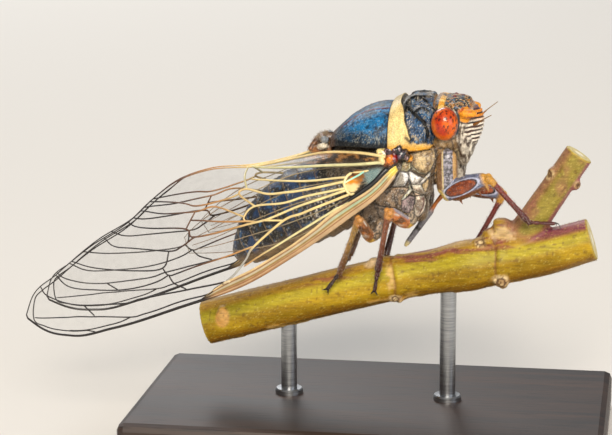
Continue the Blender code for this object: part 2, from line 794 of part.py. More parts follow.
def unrolled(a, v):
    """Flat coordinates of a place on the wing, close to true lengths."""
    return Vector((a, (v - 0.4) * wing_width(a)))


def rolled(flat):
    a = min(max(flat.x, 0.0), WING_LENGTH)
    return a, min(max(flat.y / wing_width(a) + 0.4, 0.0), 1.0)


def distance_to_line(point, line):
    """Distance in the plane from a point to a broken line."""
    best = 1e9
    for p, q in zip(line, line[1:]):
        along = q - p
        t = max(0.0, min(1.0, (point - p).dot(along) / max(along.length_squared, 1e-12)))
        best = min(best, (point - p - along * t).length)
    return best


def offset_line(line, shift):
    """The broken line moved sideways in the plane."""
    moved = []
    for i, point in enumerate(line):
        along = (line[min(i + 1, len(line) - 1)] - line[max(i - 1, 0)]).normalized()
        moved.append(point + Vector((-along.y, along.x)) * shift)
    return moved


def vein_lines():
    """Each vein as (flat line, half width of its ridge)."""
    lines = []
    for name, (half, places) in VEINS.items():
        lines.append(([unrolled(a, v) for a, v in places], half))
    return lines


def veined_sheet():
    """Places, triangles, rim and ridge heights of the forewing, split along its veins."""
    stations = [0.0, 1.7, 3.2, 5.2, 7.8, 10.0, 12.0, 14.0, 16.0, 18.0, 20.3, 22.6, 25.0, 27.3, 29.4, 31.0, 32.2, 32.9, 33.25, WING_LENGTH]
    low = [unrolled(a, 0.0) for a in stations]
    high = [unrolled(a, 1.0) for a in reversed(stations)]
    border = low + high
    coords = list(border)
    edges = [(i, (i + 1) % len(border)) for i in range(len(border))]

    def add(line):
        start = len(coords)
        coords.extend(line)
        edges.extend((start + i, start + i + 1) for i in range(len(line) - 1))

    veins = vein_lines()
    for line, half in veins:
        add(line)
        add(offset_line(line, half))
        add(offset_line(line, -half))
    for a in np.arange(2.0, WING_LENGTH - 1.0, 2.6):
        for v in (0.15, 0.3, 0.45, 0.6, 0.75, 0.9):
            point = unrolled(a, v)
            if all(distance_to_line(point, line) > 0.9 for line, _ in veins):
                coords.append(point)
    found, _, faces, *_ = delaunay_2d_cdt(coords, edges, [], 1, 1e-4, False)
    rim_low, rim_high = low, list(reversed(high))
    lifts = []
    for point in found:
        lift = 0.0
        for line, half in veins:
            lift = max(lift, VEIN_HEIGHT * (1 - distance_to_line(point, line) / half))
        edge = min(distance_to_line(point, rim_low), distance_to_line(point, rim_high))
        lift = max(lift, RIM_HEIGHT * (1 - edge / RIM_WIDTH))
        a, v = rolled(point)
        if a < COSTAL_BAND[-1][0] and v < band_at(a)[0]:
            lift = max(lift, 0.7 * VEIN_HEIGHT)
        lifts.append(lift)
    places = [rolled(point) for point in found]
    count = {}
    for face in faces:
        for i in range(3):
            p, q = face[i], face[(i + 1) % 3]
            count[(p, q)] = count.get((p, q), 0) + 1
    outline = [(p, q) for p, q in count if (q, p) not in count]
    return places, [tuple(face) for face in faces], outline, lifts


def build_wings():
    places, triangles, outline, lifts = veined_sheet()
    right = sheet_bmesh(places, triangles, outline, lifts, WING_THICK / 2)
    left = mirrored(right)
    hinge = wing_point(0.0, 0.5)
    solid("forewing_right", right, "wing_membrane", hinge)
    solid("forewing_left", left, "wing_membrane", (hinge.x, -hinge.y, hinge.z))

    stations = wing_stations(12, HINDWING_REACH, 1.6)
    places, triangles, outline = wing_grid(stations, 6)
    shaped = []
    for a, v in places:
        t = (a - stations[0]) / (HINDWING_REACH - stations[0])
        low, high = 0.12 + 0.25 * t**3, 0.74 - 0.22 * t**3
        shaped.append((a, low + (high - low) * v))
    right = sheet_bmesh(shaped, triangles, outline, [0.0] * len(places), WING_THICK / 2, HINDWING_DROP)
    left = mirrored(right)
    hinge = wing_point(stations[0], 0.45, HINDWING_DROP)
    solid("hindwing_right", right, "wing_membrane", hinge)
    solid("hindwing_left", left, "wing_membrane", (hinge.x, -hinge.y, hinge.z))


# ---------------------------------------------------------------- legs


def limb(points, radii, sides=8, flat=1.0, up=(0, 0, 1)):
    return rings_to_bmesh(tube(points, radii, sides, flat, up))


def leg_pieces(kind, side, grow=0.0):
    """The closed pieces of one leg, coxa, thigh, shin and foot, each thicker by grow where it sits in the body."""
    root, hip, knee, ankle, toe, (coxa, femur, tibia) = LEGS[kind]
    if kind == "foreleg" and side > 0:
        knee, ankle, toe = FORELEG_LEFT
    root, hip, knee, ankle, toe = (Vector((p[0], p[1] * side, p[2])) for p in (root, hip, knee, ankle, toe))
    pieces = []
    out = Vector((0, side, 0))
    ends = grow / (hip - root).length
    pieces.append(
        limb(
            [root.lerp(hip, t) for t in (-ends, 0.2, 0.55, 0.9, 1.08 + ends)],
            [coxa * k + grow for k in (0.55, 0.95, 1, 0.75, 0.4)],
            10,
            0.8 if grow == 0 else 1.0,
            out,
        )
    )
    swell = (0.55, 0.85, 1.0, 0.92, 0.62, 0.42) if kind == "foreleg" else (0.6, 0.85, 1.0, 0.95, 0.8, 0.5)
    places = (-0.04 - grow / (knee - hip).length, 0.14, 0.38, 0.64, 0.9, 1.03)
    pieces.append(
        limb([hip.lerp(knee, t) for t in places], [femur * k + grow for k in swell], 10, 0.8 if grow == 0 else 1.0)
    )
    places = (-0.02, 0.08, 0.5, 0.92, 1.0)
    pieces.append(limb([knee.lerp(ankle, t) for t in places], [tibia * k for k in (1.0, 1.2, 1.0, 1.1, 0.95)], 8))
    places = (-0.06, 0.35, 0.8, 1.0)
    pieces.append(limb([ankle.lerp(toe, t) for t in places], [0.25, 0.26, 0.25, 0.2], 8))
    ahead = (toe - ankle).normalized()
    on_top = kind == "foreleg" and side < 0
    sideways = ahead.cross(Vector((0, 0, 1)) if on_top else Vector((0, 1, 0))).normalized()
    grip = Vector((0, 0, -1)) if on_top else Vector((0, -side, 0))
    for turn in (-1, 1):
        tip = toe + ahead * 0.42 + sideways * 0.3 * turn + grip * 0.12
        pieces.append(limb([toe - ahead * 0.08, toe + ahead * 0.2 + sideways * 0.22 * turn, tip], [0.13, 0.11, 0.03], 6))
    if kind == "foreleg":
        down = (Vector((0, 0, -1)) + (knee - hip).normalized() * 0.5).normalized()
        for place, reach in FEMUR_SPINES:
            foot = hip.lerp(knee, place) + down * femur * 0.6
            pieces.append(limb([foot, foot + down * (0.3 + reach)], [0.2, 0.04], 5))
    return pieces


def build_legs():
    for kind in LEGS:
        for name, side in ((f"{kind}_right", -1), (f"{kind}_left", 1)):
            root = LEGS[kind][0]
            fuse(name, leg_pieces(kind, side), "leg_tan", (root[0], root[1] * side, root[2]))


# ------------------------------------------------------ stem and stand


def stem_rings(count=26, sides=22):
    at = hermite(STEM)
    first, last = STEM[0][0], STEM[-1][0]
    points, radii = [], []
    for i in range(count):
        x = first + (last - first) * i / (count - 1)
        z, radius = at(x)
        points.append((x, 0, z))
        radii.append(radius)
    return tube(points, radii, sides)


def build_perch():
    pieces = [rings_to_bmesh(stem_rings())]
    points = [(x, 0, z) for x, z, _ in SHOOT]
    pieces.append(limb(points, [r for _, _, r in SHOOT], 16, up=(1, 0, 0)))
    pieces += [ball(place, radii, 10, 6) for place, radii in STEM_KNOBS]
    fuse("perch", pieces, "bark_green", (0, 0, 12.5))


def stem_underside(x):
    z, radius = hermite(STEM)(x)
    slope = (hermite(STEM)(x + 0.1)[0] - hermite(STEM)(x - 0.1)[0]) / 0.2
    return z - radius * math.sqrt(1 + slope * slope)


def build_stand():
    length, width, height = BASE_SIZE
    bm = bmesh.new()
    bmesh.ops.create_cube(bm, size=1.0)
    bmesh.ops.scale(bm, verts=bm.verts, vec=(length, width, height))
    bmesh.ops.translate(bm, verts=bm.verts, vec=(0, 0, height / 2))
    base = solid("stand_base", bm, "painted_wood", (0, 0, 0))
    bevel = base.modifiers.new("Rounded edges", "BEVEL")
    bevel.width = BASE_BEVEL * MM
    bevel.segments = 2
    for name, x in RODS_AT.items():
        bm = bmesh.new()
        bottom, top = height + GAP, stem_underside(x) - GAP - ROD_RADIUS * 0.22
        bmesh.ops.create_cone(
            bm, cap_ends=True, segments=14, radius1=ROD_RADIUS, radius2=ROD_RADIUS, depth=top - bottom
        )
        bmesh.ops.translate(bm, verts=bm.verts, vec=(x, 0, (top + bottom) / 2))
        solid(name, bm, "steel", (x, 0, bottom))


def clear_scene():
    for obj in list(bpy.data.objects):
        bpy.data.objects.remove(obj)


def main():
    clear_scene()
    axis = bpy.data.objects.new("body_axis", None)
    axis.location = Vector(BODY_CENTRE) * MM
    axis.rotation_euler = (0, -BODY_PITCH, 0)
    bpy.context.scene.collection.objects.link(axis)
    build_head()
    build_eyes()
    build_antennae()
    build_rostrum()
    build_back()
    build_thorax()
    build_abdomen(axis)
    build_wings()
    build_legs()
    build_perch()
    build_stand()


if __name__ == "__main__":
    main()
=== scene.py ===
"""Looks of a cicada at rest on a cut stem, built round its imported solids.

Shapes are worked out in millimetres, in the frame of the solids: +X is the way
the head points, +Y the insect's left and +Z up, with the middle of the base's
underside at the origin. They are turned to metres when a piece is made. Tables
of sizes repeat those of the part's source, and are cut finer here.
"""

import logging
import math
from collections.abc import Sequence
from dataclasses import dataclass, field
from enum import Enum
from typing import ClassVar

import bpy
import numpy as np
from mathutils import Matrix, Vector

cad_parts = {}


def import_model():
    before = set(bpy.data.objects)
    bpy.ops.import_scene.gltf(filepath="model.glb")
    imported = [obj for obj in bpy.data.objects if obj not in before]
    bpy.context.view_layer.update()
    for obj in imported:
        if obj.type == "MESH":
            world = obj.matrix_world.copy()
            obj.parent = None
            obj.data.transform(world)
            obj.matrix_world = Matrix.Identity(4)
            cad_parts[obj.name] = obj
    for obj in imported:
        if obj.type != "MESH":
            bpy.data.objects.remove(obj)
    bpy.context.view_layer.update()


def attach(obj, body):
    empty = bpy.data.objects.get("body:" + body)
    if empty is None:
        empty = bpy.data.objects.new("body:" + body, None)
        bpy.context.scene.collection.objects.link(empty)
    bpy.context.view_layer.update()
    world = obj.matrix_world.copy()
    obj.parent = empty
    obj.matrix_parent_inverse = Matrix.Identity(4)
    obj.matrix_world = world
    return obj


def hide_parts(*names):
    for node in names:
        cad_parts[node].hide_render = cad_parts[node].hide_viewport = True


LOG = logging.getLogger("cicada")
Array = np.ndarray
Rows = tuple[tuple[float, ...], ...]
Place = tuple[float, float, float]
# Middle and half sizes of a rounded swelling.
Ball = tuple[Place, Place]
MM = 0.001
BODY_PITCH = math.radians(28.0)
BODY_CENTRE = np.array((1.2, 0.0, 22.0))
# Large odd numbers that scatter the random fields.
CELL_STEPS = (73856093, 19349663, 83492791)
SEED_STEP, SEED_START = 2654435, 97
SCATTER_STEPS = (1274126177, 1103515245)
FIELD_BITS = 0xFFFFF
# Distance that stands for none found yet.
FAR = 1e9


class Side(Enum):
    """Sides of the insect, with the sign of Y on each."""

    RIGHT = -1
    LEFT = 1

    @property
    def word(self) -> str:
        """Name of the side in a piece's name."""
        return self.name.lower()


# ------------------------------------------------------------ numbers


def linear(code: str) -> Array:
    """Turn an sRGB hex value to linear light.

    Args:
        code: Six hex digits.

    Returns:
        Three linear channels.
    """
    channels = np.array([int(code[i : i + 2], 16) / 255 for i in (0, 2, 4)])
    return np.where(channels <= 0.04045, channels / 12.92, ((channels + 0.055) / 1.055) ** 2.4)


def ease(value: Array | float, low: float, high: float) -> Array:
    """Rise smoothly from 0 where value is low to 1 where it is high.

    Args:
        value: Where to read the step.
        low: Value at which it is 0, which may be above high.
        high: Value at which it is 1.

    Returns:
        The share, from 0 to 1.
    """
    t = np.clip((np.asarray(value, float) - low) / (high - low), 0.0, 1.0)
    return t * t * (3 - 2 * t)


def mixed(base: Array | str, other: Array | str, share: Array | float) -> Array:
    """Blend colours towards another by a share for each point.

    Args:
        base: Linear colours, one for each point or one for all, or an sRGB hex value.
        other: What to go to, in the same ways.
        share: 0 keeps base and 1 gives other.

    Returns:
        The blended colours.
    """
    base, other = (linear(value) if isinstance(value, str) else value for value in (base, other))
    share = np.clip(np.asarray(share, float), 0.0, 1.0)[..., None]
    return base + (other - base) * share


def layered(base: Array | str, *layers: tuple[Array | str, Array | float]) -> Array:
    """Lay colours over one another, each by a share for each point.

    Args:
        base: Colours to start from, as for mixed.
        *layers: Pairs of colours and share, from the lowest up.

    Returns:
        The blended colours.
    """
    for other, share in layers:
        base = mixed(base, other, share)
    return base


def unit(way: Array) -> Array:
    """Turn one direction to length 1."""
    return way / np.linalg.norm(way)


@dataclass(frozen=True)
class SmoothTable:
    """Smooth curves through rows of (place, value, ...), flat at each crest."""

    rows: Rows

    def __call__(self, place: Array | float) -> Array:
        """Read the curves.

        Args:
            place: Where to read them, kept inside the table.

        Returns:
            The values, on a new last axis.
        """
        table = np.array(sorted(self.rows), float)
        places, values = table[:, 0], table[:, 1:]
        steps = np.diff(places)
        rises = np.diff(values, axis=0) / steps[:, None]
        slopes = np.zeros_like(values)
        slopes[0], slopes[-1] = rises[0], rises[-1]
        sums = (steps[:-1] + steps[1:])[:, None]
        mean = (rises[:-1] * steps[1:, None] + rises[1:] * steps[:-1, None]) / sums
        slopes[1:-1] = np.where(rises[:-1] * rises[1:] > 0, mean, 0.0)
        at = np.clip(np.asarray(place, float), places[0], places[-1])
        i = np.clip(np.searchsorted(places, at, side="right") - 1, 0, len(steps) - 1)
        t = ((at - places[i]) / steps[i])[..., None]
        step = steps[i][..., None]
        return (
            values[i] * (1 + 2 * t) * (1 - t) ** 2
            + slopes[i] * step * t * (1 - t) ** 2
            + values[i + 1] * t * t * (3 - 2 * t)
            + slopes[i + 1] * step * t * t * (t - 1)
        )


def hashed(cells: Array, seed: int) -> Array:
    """Return a fixed value from 0 to 1 for each whole-number cell.

    Args:
        cells: Cell numbers, with three on the last axis.
        seed: Chooses one of many such fields.

    Returns:
        One value a cell.
    """
    whole = cells.astype(np.int64)
    x, y, z = (whole[..., k] * CELL_STEPS[k] for k in range(3))
    value = (x ^ y ^ z ^ (seed * SEED_STEP + SEED_START)) * SCATTER_STEPS[0]
    value = (value ^ (value >> 13)) * SCATTER_STEPS[1]
    return ((value ^ (value >> 16)) & FIELD_BITS) / FIELD_BITS


def mottle(points: Array, size: float, seed: int = 0, octaves: int = 2) -> Array:
    """Smooth random value over space.

    Args:
        points: Where to read it, in millimetres.
        size: Width of its largest blotches, in millimetres.
        seed: Chooses one of many such fields.
        octaves: How many finer layers it sums, each of half the size.

    Returns:
        Values from 0 to 1.
    """
    total, weight = np.zeros(len(points)), 0.0
    for k in range(octaves):
        grid = points * (2**k / size) + 17.3 * (k + seed)
        low = np.floor(grid)
        t = grid - low
        t = t * t * (3 - 2 * t)
        value = np.zeros(len(points))
        for corner in np.ndindex(2, 2, 2):
            share = np.prod(np.where(np.array(corner) == 1, t, 1 - t), axis=1)
            value += hashed(low + corner, seed + 31 * k) * share
        total += value * 0.5**k
        weight += 0.5**k
    return total / weight


def spots(points: Array, size: float, seed: int) -> Array:
    """Distance from each point to the nearest of many scattered places.

    Args:
        points: Where to read it, in millimetres.
        size: Mean distance between the places.
        seed: Chooses one of many such fields.

    Returns:
        Distances as a share of the size.
    """
    grid = points / size
    low = np.floor(grid)
    best = np.full(len(points), FAR)
    for step in np.ndindex(3, 3, 3):
        cell = low + np.array(step) - 1
        place = cell + np.stack([hashed(cell, seed + k) for k in range(3)], axis=-1)
        best = np.minimum(best, np.linalg.norm(grid - place, axis=1))
    return best


def line_distance(points: Array, line: Array) -> Array:
    """Distance from each point to a broken line, in a plane or in space.

    Args:
        points: The points.
        line: Corners of the line.

    Returns:
        One distance a point.
    """
    best = np.full(len(points), FAR)
    for start, end in zip(line, line[1:]):
        along = end - start
        t = np.clip((points - start) @ along / max(along @ along, 1e-12), 0.0, 1.0)
        best = np.minimum(best, np.linalg.norm(points - start - t[:, None] * along, axis=1))
    return best


def depth_in(flat: Array, corners: Array) -> Array:
    """How far each point lies inside a polygon in a plane, negative outside.

    Args:
        flat: The points, with two coordinates each.
        corners: Corners of the polygon in order.

    Returns:
        One distance a point.
    """
    edge = line_distance(flat, np.vstack([corners, corners[:1]]))
    within = np.zeros(len(flat), bool)
    for start, end in zip(corners, np.roll(corners, -1, axis=0)):
        spans = (start[1] > flat[:, 1]) != (end[1] > flat[:, 1])
        cross = start[0] + (flat[:, 1] - start[1]) * (end[0] - start[0]) / (end[1] - start[1] + 1e-12)
        within ^= spans & (flat[:, 0] < cross)
    return np.where(within, edge, -edge)


def rounded_line(corners: Array, step: float) -> Array:
    """Smooth line through the corners, with points a step apart.

    Args:
        corners: Points that it passes through.
        step: Distance between the points of the result.

    Returns:
        The points, with both ends kept.
    """
    ends = np.vstack([2 * corners[0] - corners[1], corners, 2 * corners[-1] - corners[-2]])
    made = []
    for a, b, c, d in zip(ends, ends[1:], ends[2:], ends[3:]):
        count = max(2, int(round(np.linalg.norm(c - b) / step)))
        t = np.arange(count)[:, None] / count
        tight = 0.5
        made.append(
            b
            + t * tight * (c - a)
            + t**2 * (2 * tight * a + (tight - 3) * b + (3 - 2 * tight) * c - tight * d)
            + t**3 * (-tight * a + (2 - tight) * b + (tight - 2) * c + tight * d)
        )
    return np.vstack([*made, corners[-1:]])


def to_world(points: Array) -> Array:
    """Turn points from the frame of the body axis to the world's."""
    c, s = math.cos(BODY_PITCH), math.sin(BODY_PITCH)
    x, y, z = points[..., 0], points[..., 1], points[..., 2]
    return np.stack([c * x - s * z, y, s * x + c * z], axis=-1) + BODY_CENTRE


def to_body(points: Array) -> Array:
    """Turn points from the world's frame to that of the body axis."""
    c, s = math.cos(BODY_PITCH), math.sin(BODY_PITCH)
    moved = points - BODY_CENTRE
    x, y, z = moved[..., 0], moved[..., 1], moved[..., 2]
    return np.stack([c * x + s * z, y, -s * x + c * z], axis=-1)


# ------------------------------------------------------------- meshes


def read_values(source: bpy.types.bpy_prop_collection, name: str, width: int = 1, kind: type = np.float32) -> Array:
    """Read one property of all the items in a list of a mesh.

    Args:
        source: The list.
        name: The property.
        width: Numbers that each item holds.
        kind: Their type.

    Returns:
        A row for each item, or a flat array where each holds one number.
    """
    values = np.empty(len(source) * width, kind)
    source.foreach_get(name, values)
    return values.reshape(-1, width) if width > 1 else values


class Skin:
    """A closed mesh in millimetres that is shaped and coloured by arrays."""

    def __init__(self, name: str, points: Array, faces: Sequence[Sequence[int]]) -> None:
        """Make the mesh.

        Args:
            name: Name of the mesh, and later of the piece.
            points: Its corners.
            faces: Corner numbers of each face.
        """
        self.mesh = bpy.data.meshes.new(name)
        self.mesh.from_pydata(np.asarray(points).tolist(), [], [tuple(f) for f in faces])
        self.mesh.update()

    @classmethod
    def of_grid(cls, name: str, grid: Array, wrap: bool = True) -> "Skin":
        """Skin over a grid of points, closed round each row and at both ends.

        Args:
            name: Name of the mesh.
            grid: Rows by columns of points.
            wrap: Whether each row closes on itself.

        Returns:
            The skin.
        """
        rows, columns = grid.shape[:2]
        points = grid.reshape(-1, 3)
        faces = []
        last = columns if wrap else columns - 1
        for i in range(rows - 1):
            for j in range(last):
                k = (j + 1) % columns
                faces.append(
                    (i * columns + j, i * columns + k, (i + 1) * columns + k, (i + 1) * columns + j)
                )
        if wrap:
            ends = np.array([grid[0].mean(axis=0), grid[-1].mean(axis=0)])
            points = np.vstack([points, ends])
            total = rows * columns
            for j in range(columns):
                k = (j + 1) % columns
                faces.append((k, j, total))
                faces.append(((rows - 1) * columns + j, (rows - 1) * columns + k, total + 1))
        return cls(name, points, faces)

    @classmethod
    def of_ball(cls, centre: Sequence[float], radii: Sequence[float], fine: int = 24, power: float = 2.0) -> "Skin":
        """Ellipsoid, or a rounded block where the power is over 2.

        Args:
            centre: Its middle.
            radii: Its half sizes along X, Y and Z.
            fine: Points round it.
            power: How far it is filled out towards a block.

        Returns:
            The skin.
        """
        high = np.linspace(-0.5, 0.5, fine // 2 + 1)[1:-1, None] * math.pi
        turn = np.linspace(0, 2 * math.pi, fine, endpoint=False)[None, :]
        unit = np.stack(
            [np.cos(high) * np.cos(turn), np.cos(high) * np.sin(turn), np.sin(high) + 0 * turn], axis=-1
        )
        unit /= (np.abs(unit) ** power).sum(axis=-1, keepdims=True) ** (1 / power)
        skin = cls.of_grid("ball", unit * radii + centre)
        points = skin.points
        points[-2] = np.array(centre) - (0, 0, radii[2])
        points[-1] = np.array(centre) + (0, 0, radii[2])
        skin.points = points
        return skin

    @classmethod
    def merged(cls, name: str, parts: "Sequence[Skin]") -> "Skin":
        """Several skins as the separate shells of one mesh, with their colours.

        Args:
            name: Name of the mesh.
            parts: Skins to take in, which are used up.

        Returns:
            The skin.
        """
        points, faces, tints, start = [], [], [], 0
        for part in parts:
            points.append(part.points)
            faces += [[start + i for i in face.vertices] for face in part.mesh.polygons]
            tints.append(part.tints)
            start += len(points[-1])
            bpy.data.meshes.remove(part.mesh)
        skin = cls(name, np.vstack(points), faces)
        skin.paint(np.vstack(tints))
        return skin

    @classmethod
    def fused(cls, name: str, parts: "Sequence[Skin]", voxel: float, relax: int) -> "Skin":
        """One skin round several closed ones, by a remesh of their union.

        Args:
            name: Name of the mesh.
            parts: Skins to take in, which are used up.
            voxel: Size of its faces, in millimetres.
            relax: How often it is smoothed after that.

        Returns:
            The skin.
        """
        joined = cls.merged(name, parts)
        holder = bpy.data.objects.new(name, joined.mesh)
        bpy.context.scene.collection.objects.link(holder)
        remesh = holder.modifiers.new("Fuse", "REMESH")
        remesh.mode = "VOXEL"
        remesh.voxel_size = voxel
        graph = bpy.context.evaluated_depsgraph_get()
        old = joined.mesh
        joined.mesh = bpy.data.meshes.new_from_object(holder.evaluated_get(graph))
        bpy.data.objects.remove(holder)
        bpy.data.meshes.remove(old)
        joined.mesh.name = name
        joined.relax(relax)
        return joined

    @property
    def points(self) -> Array:
        """Places of the corners."""
        return read_values(self.mesh.vertices, "co", 3).astype(float)

    @points.setter
    def points(self, places: Array) -> None:
        """Move the corners."""
        self.mesh.vertices.foreach_set("co", places.astype(np.float32).ravel())
        self.mesh.update()

    @property
    def normals(self) -> Array:
        """Directions square to the surface at the corners."""
        return read_values(self.mesh.vertex_normals, "vector", 3).astype(float)

    @property
    def tints(self) -> Array:
        """Colours of the corners, grey where none were painted."""
        layer = self.mesh.color_attributes.get("tint")
        if layer is None:
            return np.full((len(self.mesh.vertices), 3), 0.5)
        return read_values(layer.data, "color", 4)[:, :3].astype(float)

    def paint(self, colours: Array) -> None:
        """Colour the corners, with one linear colour or one for each."""
        layer = self.mesh.color_attributes.get("tint")
        if layer is None:
            layer = self.mesh.color_attributes.new("tint", "FLOAT_COLOR", "POINT")
        full = np.ones((len(self.mesh.vertices), 4), np.float32)
        full[:, :3] = np.clip(colours, 0.0, 1.0)
        layer.data.foreach_set("color", full.ravel())

    def measure(self, name: str, values: Array) -> None:
        """Store a number for each corner, which a finish reads by its name."""
        layer = self.mesh.attributes.new(name, "FLOAT", "POINT")
        layer.data.foreach_set("value", np.asarray(values, np.float32))

    def push(self, amount: Array) -> None:
        """Move each corner along its normal by so many millimetres."""
        self.points = self.points + self.normals * amount[:, None]

    def neighbours_mean(self, values: Array) -> Array:
        """Mean of the values at the corners that each corner is joined to."""
        pairs = read_values(self.mesh.edges, "vertices", 2, np.int32)
        first, second = pairs.T
        count = np.bincount(pairs.ravel(), minlength=len(values)).clip(1)
        sums = [
            np.bincount(first, values[:, k][second], len(values))
            + np.bincount(second, values[:, k][first], len(values))
            for k in range(values.shape[1])
        ]
        return np.stack(sums, axis=1) / count[:, None]

    def relax(self, times: int, share: float = 0.5) -> None:
        """Smooth the surface by moving each corner towards its neighbours."""
        points = self.points
        for _ in range(times):
            points = points + (self.neighbours_mean(points) - points) * share
        self.points = points

    def hollows(self, times: int = 6) -> Array:
        """How deep each corner lies in a groove, in millimetres, negative on a ridge."""
        points = self.points
        smooth = points
        for _ in range(times):
            smooth = self.neighbours_mean(smooth)
        return ((smooth - points) * self.normals).sum(axis=1)

    def atlas(self) -> Array:
        """Flat places of the corners on a box unwrap of the skin's own shape, with six charts."""
        points, normals = self.points, self.normals
        low, high = points.min(axis=0), points.max(axis=0)
        share = (points - low) / (high - low).max()
        facing = np.argmax(np.abs(normals), axis=1)
        flat = np.choose(facing[:, None], [share[:, [1, 2]], share[:, [0, 2]], share[:, [0, 1]]])
        chart = facing + 3 * (normals[np.arange(len(points)), facing] > 0)
        corner = np.stack([chart % 3 / 3, chart // 3 / 2], axis=1)
        return corner + 0.01 + flat * (0.31, 0.46)

    def piece(self, finish: "Finish", slot: str, *nodes: str) -> bpy.types.Object:
        """Turn the skin to metres and put it in the scene as a piece of the root body.

        Args:
            finish: What it is made of.
            slot: The record's material slot for it; not used.
            *nodes: Solids that it stands for.

        Returns:
            The piece.
        """
        self.points = self.points * MM
        self.mesh.polygons.foreach_set("use_smooth", [True] * len(self.mesh.polygons))
        self.mesh.materials.clear()
        self.mesh.materials.append(finish.material())
        made = bpy.data.objects.new(self.mesh.name, self.mesh)
        bpy.context.scene.collection.objects.link(made)
        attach(made, "root")
        if nodes:
            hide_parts(*nodes)
        LOG.info("%s: %d faces", made.name, len(self.mesh.polygons))
        return made


def tube(points: Array, radii: Array, sides: int = 12, flat: float = 1.0, up: Sequence[float] = (0, 0, 1)) -> Array:
    """Grid of points of a tube along a line.

    Args:
        points: The line.
        radii: Radius at each of its points.
        sides: Points round it.
        flat: Its width over its height.
        up: Direction of its height.

    Returns:
        Rows by sides of points.
    """
    ahead = np.gradient(points, axis=0)
    ahead /= np.linalg.norm(ahead, axis=1, keepdims=True)
    turn = np.linspace(0, 2 * math.pi, sides, endpoint=False)
    lift, rows = np.array(up, float), []
    for point, along, radius in zip(points, ahead, np.broadcast_to(radii, len(points))):
        lift = lift - along * (lift @ along)
        lift /= np.linalg.norm(lift)
        across = np.cross(along, lift)
        rows.append(
            point + radius * (np.cos(turn)[:, None] * across * flat + np.sin(turn)[:, None] * lift)
        )
    return np.array(rows)


# ----------------------------------------------------------- finishes


def feed(socket: bpy.types.NodeSocket, value: object) -> None:
    """Link a socket's value to an input, or set the input's own value."""
    if isinstance(value, bpy.types.NodeSocket):
        socket.id_data.links.new(value, socket)
    else:
        socket.default_value = value


def add_node(tree: bpy.types.NodeTree, kind: str, inputs: dict | None = None, **settings: object) -> bpy.types.Node:
    """Add a shader node with its settings, values and links.

    Args:
        tree: Node tree to add it to.
        kind: Its type.
        inputs: Value, or socket to link from, for each input name or number.
        **settings: Its own properties.

    Returns:
        The node.
    """
    made = tree.nodes.new(kind)
    for name, value in settings.items():
        setattr(made, name, value)
    for name, value in (inputs or {}).items():
        feed(made.inputs[name], value)
    return made


@dataclass(frozen=True)
class Finish:
    """What a piece is made of; each kind below fills in its shader."""

    name: str

    def material(self) -> bpy.types.Material:
        """Return the material, made at its first use."""
        found = bpy.data.materials.get(self.name)
        if found:
            return found
        made = bpy.data.materials.new(self.name)
        made.use_nodes = True
        tree = made.node_tree
        self.fill(tree, tree.nodes["Principled BSDF"])
        return made

    def fill(self, tree: bpy.types.NodeTree, shader: bpy.types.Node) -> None:
        """Add this finish's nodes to the tree and link them to the shader."""
        raise NotImplementedError

    @staticmethod
    def place(tree: bpy.types.NodeTree) -> bpy.types.NodeSocket:
        """Place on the piece, in metres."""
        return add_node(tree, "ShaderNodeTexCoord").outputs["Object"]

    @staticmethod
    def settle(shader: bpy.types.Node, **values: object) -> None:
        """Set plain values on the shader's own sockets, and link the patterns to theirs."""
        for name, value in values.items():
            feed(shader.inputs[name.replace("_", " ")], value)


